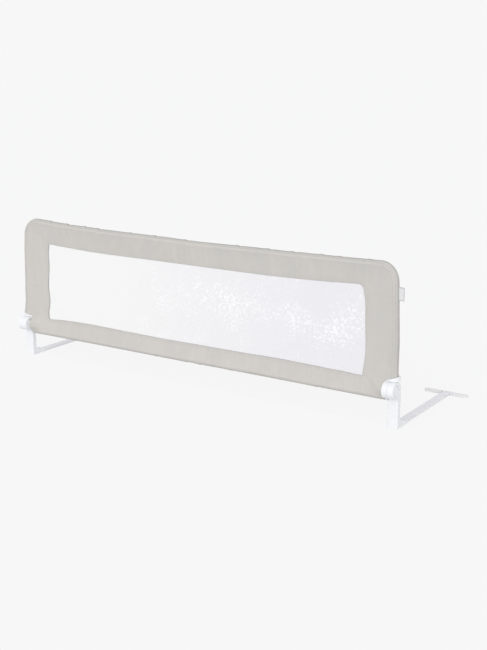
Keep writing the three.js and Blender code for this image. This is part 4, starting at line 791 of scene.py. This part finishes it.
# The cover's open ends over the hinges: a sewn cuff that stands out a little
notch_x = np.where(X < 0, NOTCH_LEFT, NOTCH_RIGHT)
above = Z - notch_top(np.abs(X))
beside = notch_x - np.abs(X)
past_corner = np.hypot(np.maximum(above, 0), np.maximum(beside, 0))
from_notch = np.where(beside < 0, above, np.where(above < 0, beside, past_corner))
from_notch = np.where((beside < 0) & (above < 0), 0, from_notch)
lift += 0.5 * np.clip((9 - from_notch) / 1.5, 0, 1)
lift -= 0.5 * bump_line(from_notch, 7.0, 0.8)
flare = np.exp(-np.maximum(from_notch, 0) / 9) * (beside < 10)
flare = flare * np.where(X < 0, 2.6, 1.2)
lift += flare * np.clip((16 - D) / 8, np.where(X < 0, 0.1, 0.3), 1) * (Z > 125)
# Under the hinge the open end is drawn in
drawn_in = 1.5 * np.exp(-np.maximum(from_notch, 0) / 7) * np.clip((30 - D) / 12, 0, 1)
lift -= drawn_in * (1 - soft_step(Z, 104, 116))
lift[:, hidden] = 0
grid = grid + normal * lift[:, :, None]
in_plane = np.dstack([square[:, None, 0] + 0 * X, 0 * X, square[:, None, 1] + 0 * X])
grid = grid + in_plane * pull[:, :, None]
# The cloth lies on the tubes and never inside them
axis = pull_tubes(plain_outer)
axis = axis + inward_of(axis) * ROUND
from_axis = grid - np.stack([axis[:, 0], np.full(count, PLANE_Y), axis[:, 1]], 1)[:, None, :]
along_tube = np.stack([-square[:, 1], np.zeros(count), square[:, 0]], 1)[:, None, :]
from_axis -= (from_axis * along_tube).sum(2, keepdims=True) * along_tube
away_from_axis = np.linalg.norm(from_axis, axis=2, keepdims=True)
push = np.clip(CLOTH_CLEARANCE - away_from_axis, 0, None) * ((D < ROUND + 3) & ~hidden)[:, :, None]
grid = grid + from_axis / np.maximum(away_from_axis, 1) * push
final_normal = grid_normals(grid)
if (final_normal * normal).sum() < 0:
    final_normal = -final_normal

rows, cols = grid.shape[:2]
faces = []
for r in range(rows):
    s = (r + 1) % rows
    for c in range(cols - 1):
        faces.append((r * cols + c, r * cols + c + 1, s * cols + c + 1, s * cols + c))
# Painted shade: the cloth is painted darker along the crest, the seams, the hem and the cuffs
painted_shade = (0.42 - 0.2 * on_side) * np.exp(-((D / 2.1) ** 2)) + 0.19 * bump_line(D, seam_place, 1.3)
painted_shade += 0.12 * bump_line(D, seam_place + SECOND_SEAM, 1.3) * on_side
painted_shade += 0.20 * np.exp(-((np.maximum(E, 0) / 2.0) ** 2)) + 0.05 * bump_line(E, HEM_SEAM, 1.2)
painted_shade += 0.12 * np.exp(-((np.maximum(from_notch, 0) / 2.0) ** 2)) * (Z < 200)
cover = make_object("cloth_cover", grid.reshape(-1, 3) * MM, faces)
cover.data.attributes.new("painted_shade", "FLOAT", "POINT").data.foreach_set("value", painted_shade.ravel())
cover.data.materials.append(cloth)
# The notches over the hinges are cut out along straight lines
mesh = bmesh.new()
mesh.from_mesh(cover.data)
for sign, edge_x in ((1, NOTCH_RIGHT), (-1, NOTCH_LEFT)):
    for co, no in (
        ((sign * edge_x * MM, 0, 0), (1, 0, 0)),
        (
            (sign * NOTCH_RIGHT * MM, 0, notch_top(NOTCH_RIGHT) * MM),
            (-NOTCH_RISE, 0, sign * NOTCH_RUN),
        ),
    ):
        near = []
        for f in mesh.faces:
            middle = f.calc_center_median()
            if middle.x * sign > 0.66 and middle.z < 0.2:
                near.append(f)
        edges = list({e for f in near for e in f.edges})
        corners = list({v for f in near for v in f.verts})
        bmesh.ops.bisect_plane(
            mesh, geom=near + edges + corners, plane_co=co, plane_no=no, dist=1e-7
        )
gone = []
for f in mesh.faces:
    p = f.calc_center_median() / MM
    if abs(p.x) > (NOTCH_RIGHT if p.x > 0 else NOTCH_LEFT) and p.z < notch_top(abs(p.x)):
        gone.append(f)
bmesh.ops.delete(mesh, geom=gone, context="FACES")
bmesh.ops.recalc_face_normals(mesh, faces=mesh.faces)
mesh.to_mesh(cover.data)
mesh.free()
cover.data.polygons.foreach_set("use_smooth", [True] * len(cover.data.polygons))
thick = cover.modifiers.new("cloth", "SOLIDIFY")
thick.thickness = CLOTH_THICKNESS * MM
thick.offset = -1
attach(cover, "panel")
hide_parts("side_cover_right", "side_cover_left", "top_cover", "bottom_cover")


# Stitching: short raised threads along the seams
def seam_line(measure, target, front_side, keep):
    """Points and normals along a seam where measure crosses target on one face of the cover."""
    points, normals = [], []
    order = range(len(columns)) if front_side else range(len(columns) - 1, cols)
    for r in range(rows):
        crossing = None
        for a, b in zip(order, order[1:]):
            low, high = measure[r, a], measure[r, b]
            crosses = (low - target) * (high - target) <= 0 and low != high
            if crosses and not hidden[a] and not hidden[b]:
                crossing = a, b, (target - low) / (high - low)
                break
        if crossing is None or not keep(outer[r]):
            points.append(None)
            normals.append(None)
            continue
        a, b, t = crossing
        points.append(grid[r, a] * (1 - t) + grid[r, b] * t)
        normals.append(final_normal[r, a] * (1 - t) + final_normal[r, b] * t)
    return points, normals


STITCH_LENGTH, STITCH_GAP, STITCH_RADIUS, SHORTEST_STITCH = 3.3, 0.9, 0.32, 0.5
# A stitch's four rings: place along it, size, and how far it stands out of the cloth
STITCH_RINGS = ((0.0, 0.45, -0.15), (0.2, 1.0, 0.22), (0.8, 1.0, 0.22), (1.0, 0.45, -0.15))
stitch_verts, stitch_faces = [], []


def add_stitch(start, end, out):
    axis = end - start
    length = np.linalg.norm(axis)
    if length < SHORTEST_STITCH:
        return
    axis = axis / length
    side = np.cross(axis, out)
    side /= max(np.linalg.norm(side), 1e-9)
    out = np.cross(side, axis)
    base = len(stitch_verts)
    for share, size, rise in STITCH_RINGS:
        middle = start + axis * length * share + out * rise
        for k in range(4):
            a = math.pi / 4 + k * math.pi / 2
            outwards = side * math.cos(a) + out * math.sin(a)
            stitch_verts.append(middle + outwards * STITCH_RADIUS * size)
    for ring_number in range(3):
        for k in range(4):
            a, b = base + ring_number * 4 + k, base + ring_number * 4 + (k + 1) % 4
            stitch_faces.append((a, b, b + 4, a + 4))
    stitch_faces.append((base + 3, base + 2, base + 1, base))
    stitch_faces.append((base + 12, base + 13, base + 14, base + 15))


def in_notch(p):
    """Whether a point is in the notch over a hinge or within 1 mm of it."""
    inner_edge = NOTCH_RIGHT if p[0] > 0 else NOTCH_LEFT
    return abs(p[0]) > inner_edge - 1 and p[2] < notch_top(abs(p[0])) + 1


def sew(points, normals):
    """Lays stitches along a closed line of points, whose gaps are None."""
    runs, run = [], []
    for p, m in zip(points, normals):
        if p is None:
            if run:
                runs.append(run)
            run = []
        else:
            run.append((p, m))
    if run:
        runs.append(run)
    if len(runs) > 1 and points[0] is not None and points[-1] is not None:
        runs[0] = runs.pop() + runs[0]
    for run in runs:
        line = np.array([p for p, _ in run])
        out = np.array([m for _, m in run])
        if len(line) < 3:
            continue
        lengths = np.linalg.norm(np.diff(line, axis=0), axis=1)
        gone_along = np.concatenate([[0], np.cumsum(lengths)])
        at = 0.0
        while at + STITCH_LENGTH < gone_along[-1]:
            ends = []
            for place in (at, at + STITCH_LENGTH):
                ends.append([np.interp(place, gone_along, line[:, k]) for k in range(3)])
            direction = np.array([np.interp(at, gone_along, out[:, k]) for k in range(3)])
            if not in_notch(ends[0]) and not in_notch(ends[1]):
                add_stitch(np.array(ends[0]), np.array(ends[1]), direction)
            at += STITCH_LENGTH + STITCH_GAP


def everywhere(p):
    return True


def on_upright(p):
    return abs(p[0]) > HALF - 30 and p[1] > 165


for front_side in (True, False):
    sew(*seam_line(E, HEM_SEAM, front_side, everywhere))
    sew(*seam_line(D - seam_place, 0.0, front_side, everywhere))
    sew(*seam_line(D - seam_place, SECOND_SEAM, front_side, on_upright))
stitches = make_object("cover_stitching", np.array(stitch_verts) * MM, stitch_faces)
stitches.data.materials.append(thread)
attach(stitches, "panel")

# Net: one thin sheet whose edges lie between the cover's two hems
NET_LEFT, NET_RIGHT, NET_LOW, NET_TOP = -637.0, 642.0, 143.0, 429.5
NET_ACROSS, NET_UP, NET_SLACK = 96, 26, 1.6
verts, faces = [], []
for j in range(NET_UP + 1):
    for i in range(NET_ACROSS + 1):
        u, v = i / NET_ACROSS, j / NET_UP
        x = NET_LEFT + (NET_RIGHT - NET_LEFT) * u
        z = NET_LOW + (NET_TOP - NET_LOW) * v
        edge = math.sin(math.pi * u) * math.sin(math.pi * v)
        sag = NET_SLACK * edge * noise.noise(Vector((x / 140, z / 90, 4.2)))
        verts.append((x * MM, (PLANE_Y + sag) * MM, z * MM))
for j in range(NET_UP):
    for i in range(NET_ACROSS):
        a = j * (NET_ACROSS + 1) + i
        faces.append((a, a + 1, a + NET_ACROSS + 2, a + NET_ACROSS + 1))
net_sheet = make_object("net_window", verts, faces)
net_sheet.data.materials.append(net)
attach(net_sheet, "panel")
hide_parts("mesh_panel")

# Blank side tag: a strip of tape folded over and sewn into the seam
# Its section from one sewn-in end round the fold to the other, as distance out and sideways
TAG_PROFILE = [
    (-6.0, -0.55), (0.0, -0.6), (6.0, -0.7), (12.5, -0.85), (16.9, -0.7), (18.0, -0.35),
    (18.3, 0.0), (18.0, 0.35), (16.9, 0.7), (12.5, 0.85), (6.0, 0.7), (0.0, 0.6), (-6.0, 0.55),
]
TAG_ROWS, TAG_X, TAG_LOW, TAG_HEIGHT, TAG_OUT = 40, HALF - 4.6, 392, 40, 18.3
# How wide the darker rim is: up the tag as a share of it, and at its fold in millimetres
RIM_SHARE, RIM_WIDTH = 0.06, 2.2
verts, faces, rim = [], [], []
for j in range(TAG_ROWS + 1):
    v = j / TAG_ROWS
    lean = 1.4 * math.sin(math.pi * v) - 0.8
    for x, y in TAG_PROFILE:
        bend = lean * max(x, 0) / 18
        side_y, height = PLANE_Y + y + bend, TAG_LOW + TAG_HEIGHT * v
        verts.append(((TAG_X + x) * MM, side_y * MM, height * MM))
        from_rim = (v / RIM_SHARE, (1 - v) / RIM_SHARE, (x - TAG_OUT) / RIM_WIDTH)
        rim.append(max(math.exp(-(far**2)) for far in from_rim))
per_row = len(TAG_PROFILE)
for j in range(TAG_ROWS):
    for i in range(per_row - 1):
        a = j * per_row + i
        faces.append((a, a + 1, a + per_row + 1, a + per_row))
tag = make_object("blank_tag", verts, faces)
tag.data.attributes.new("rim", "FLOAT", "POINT").data.foreach_set("value", rim)
tag.data.materials.append(tape)
tag_thick = tag.modifiers.new("tape", "SOLIDIFY")
tag_thick.thickness = TAPE_THICKNESS * MM
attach(tag, "panel")
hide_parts("side_tag")
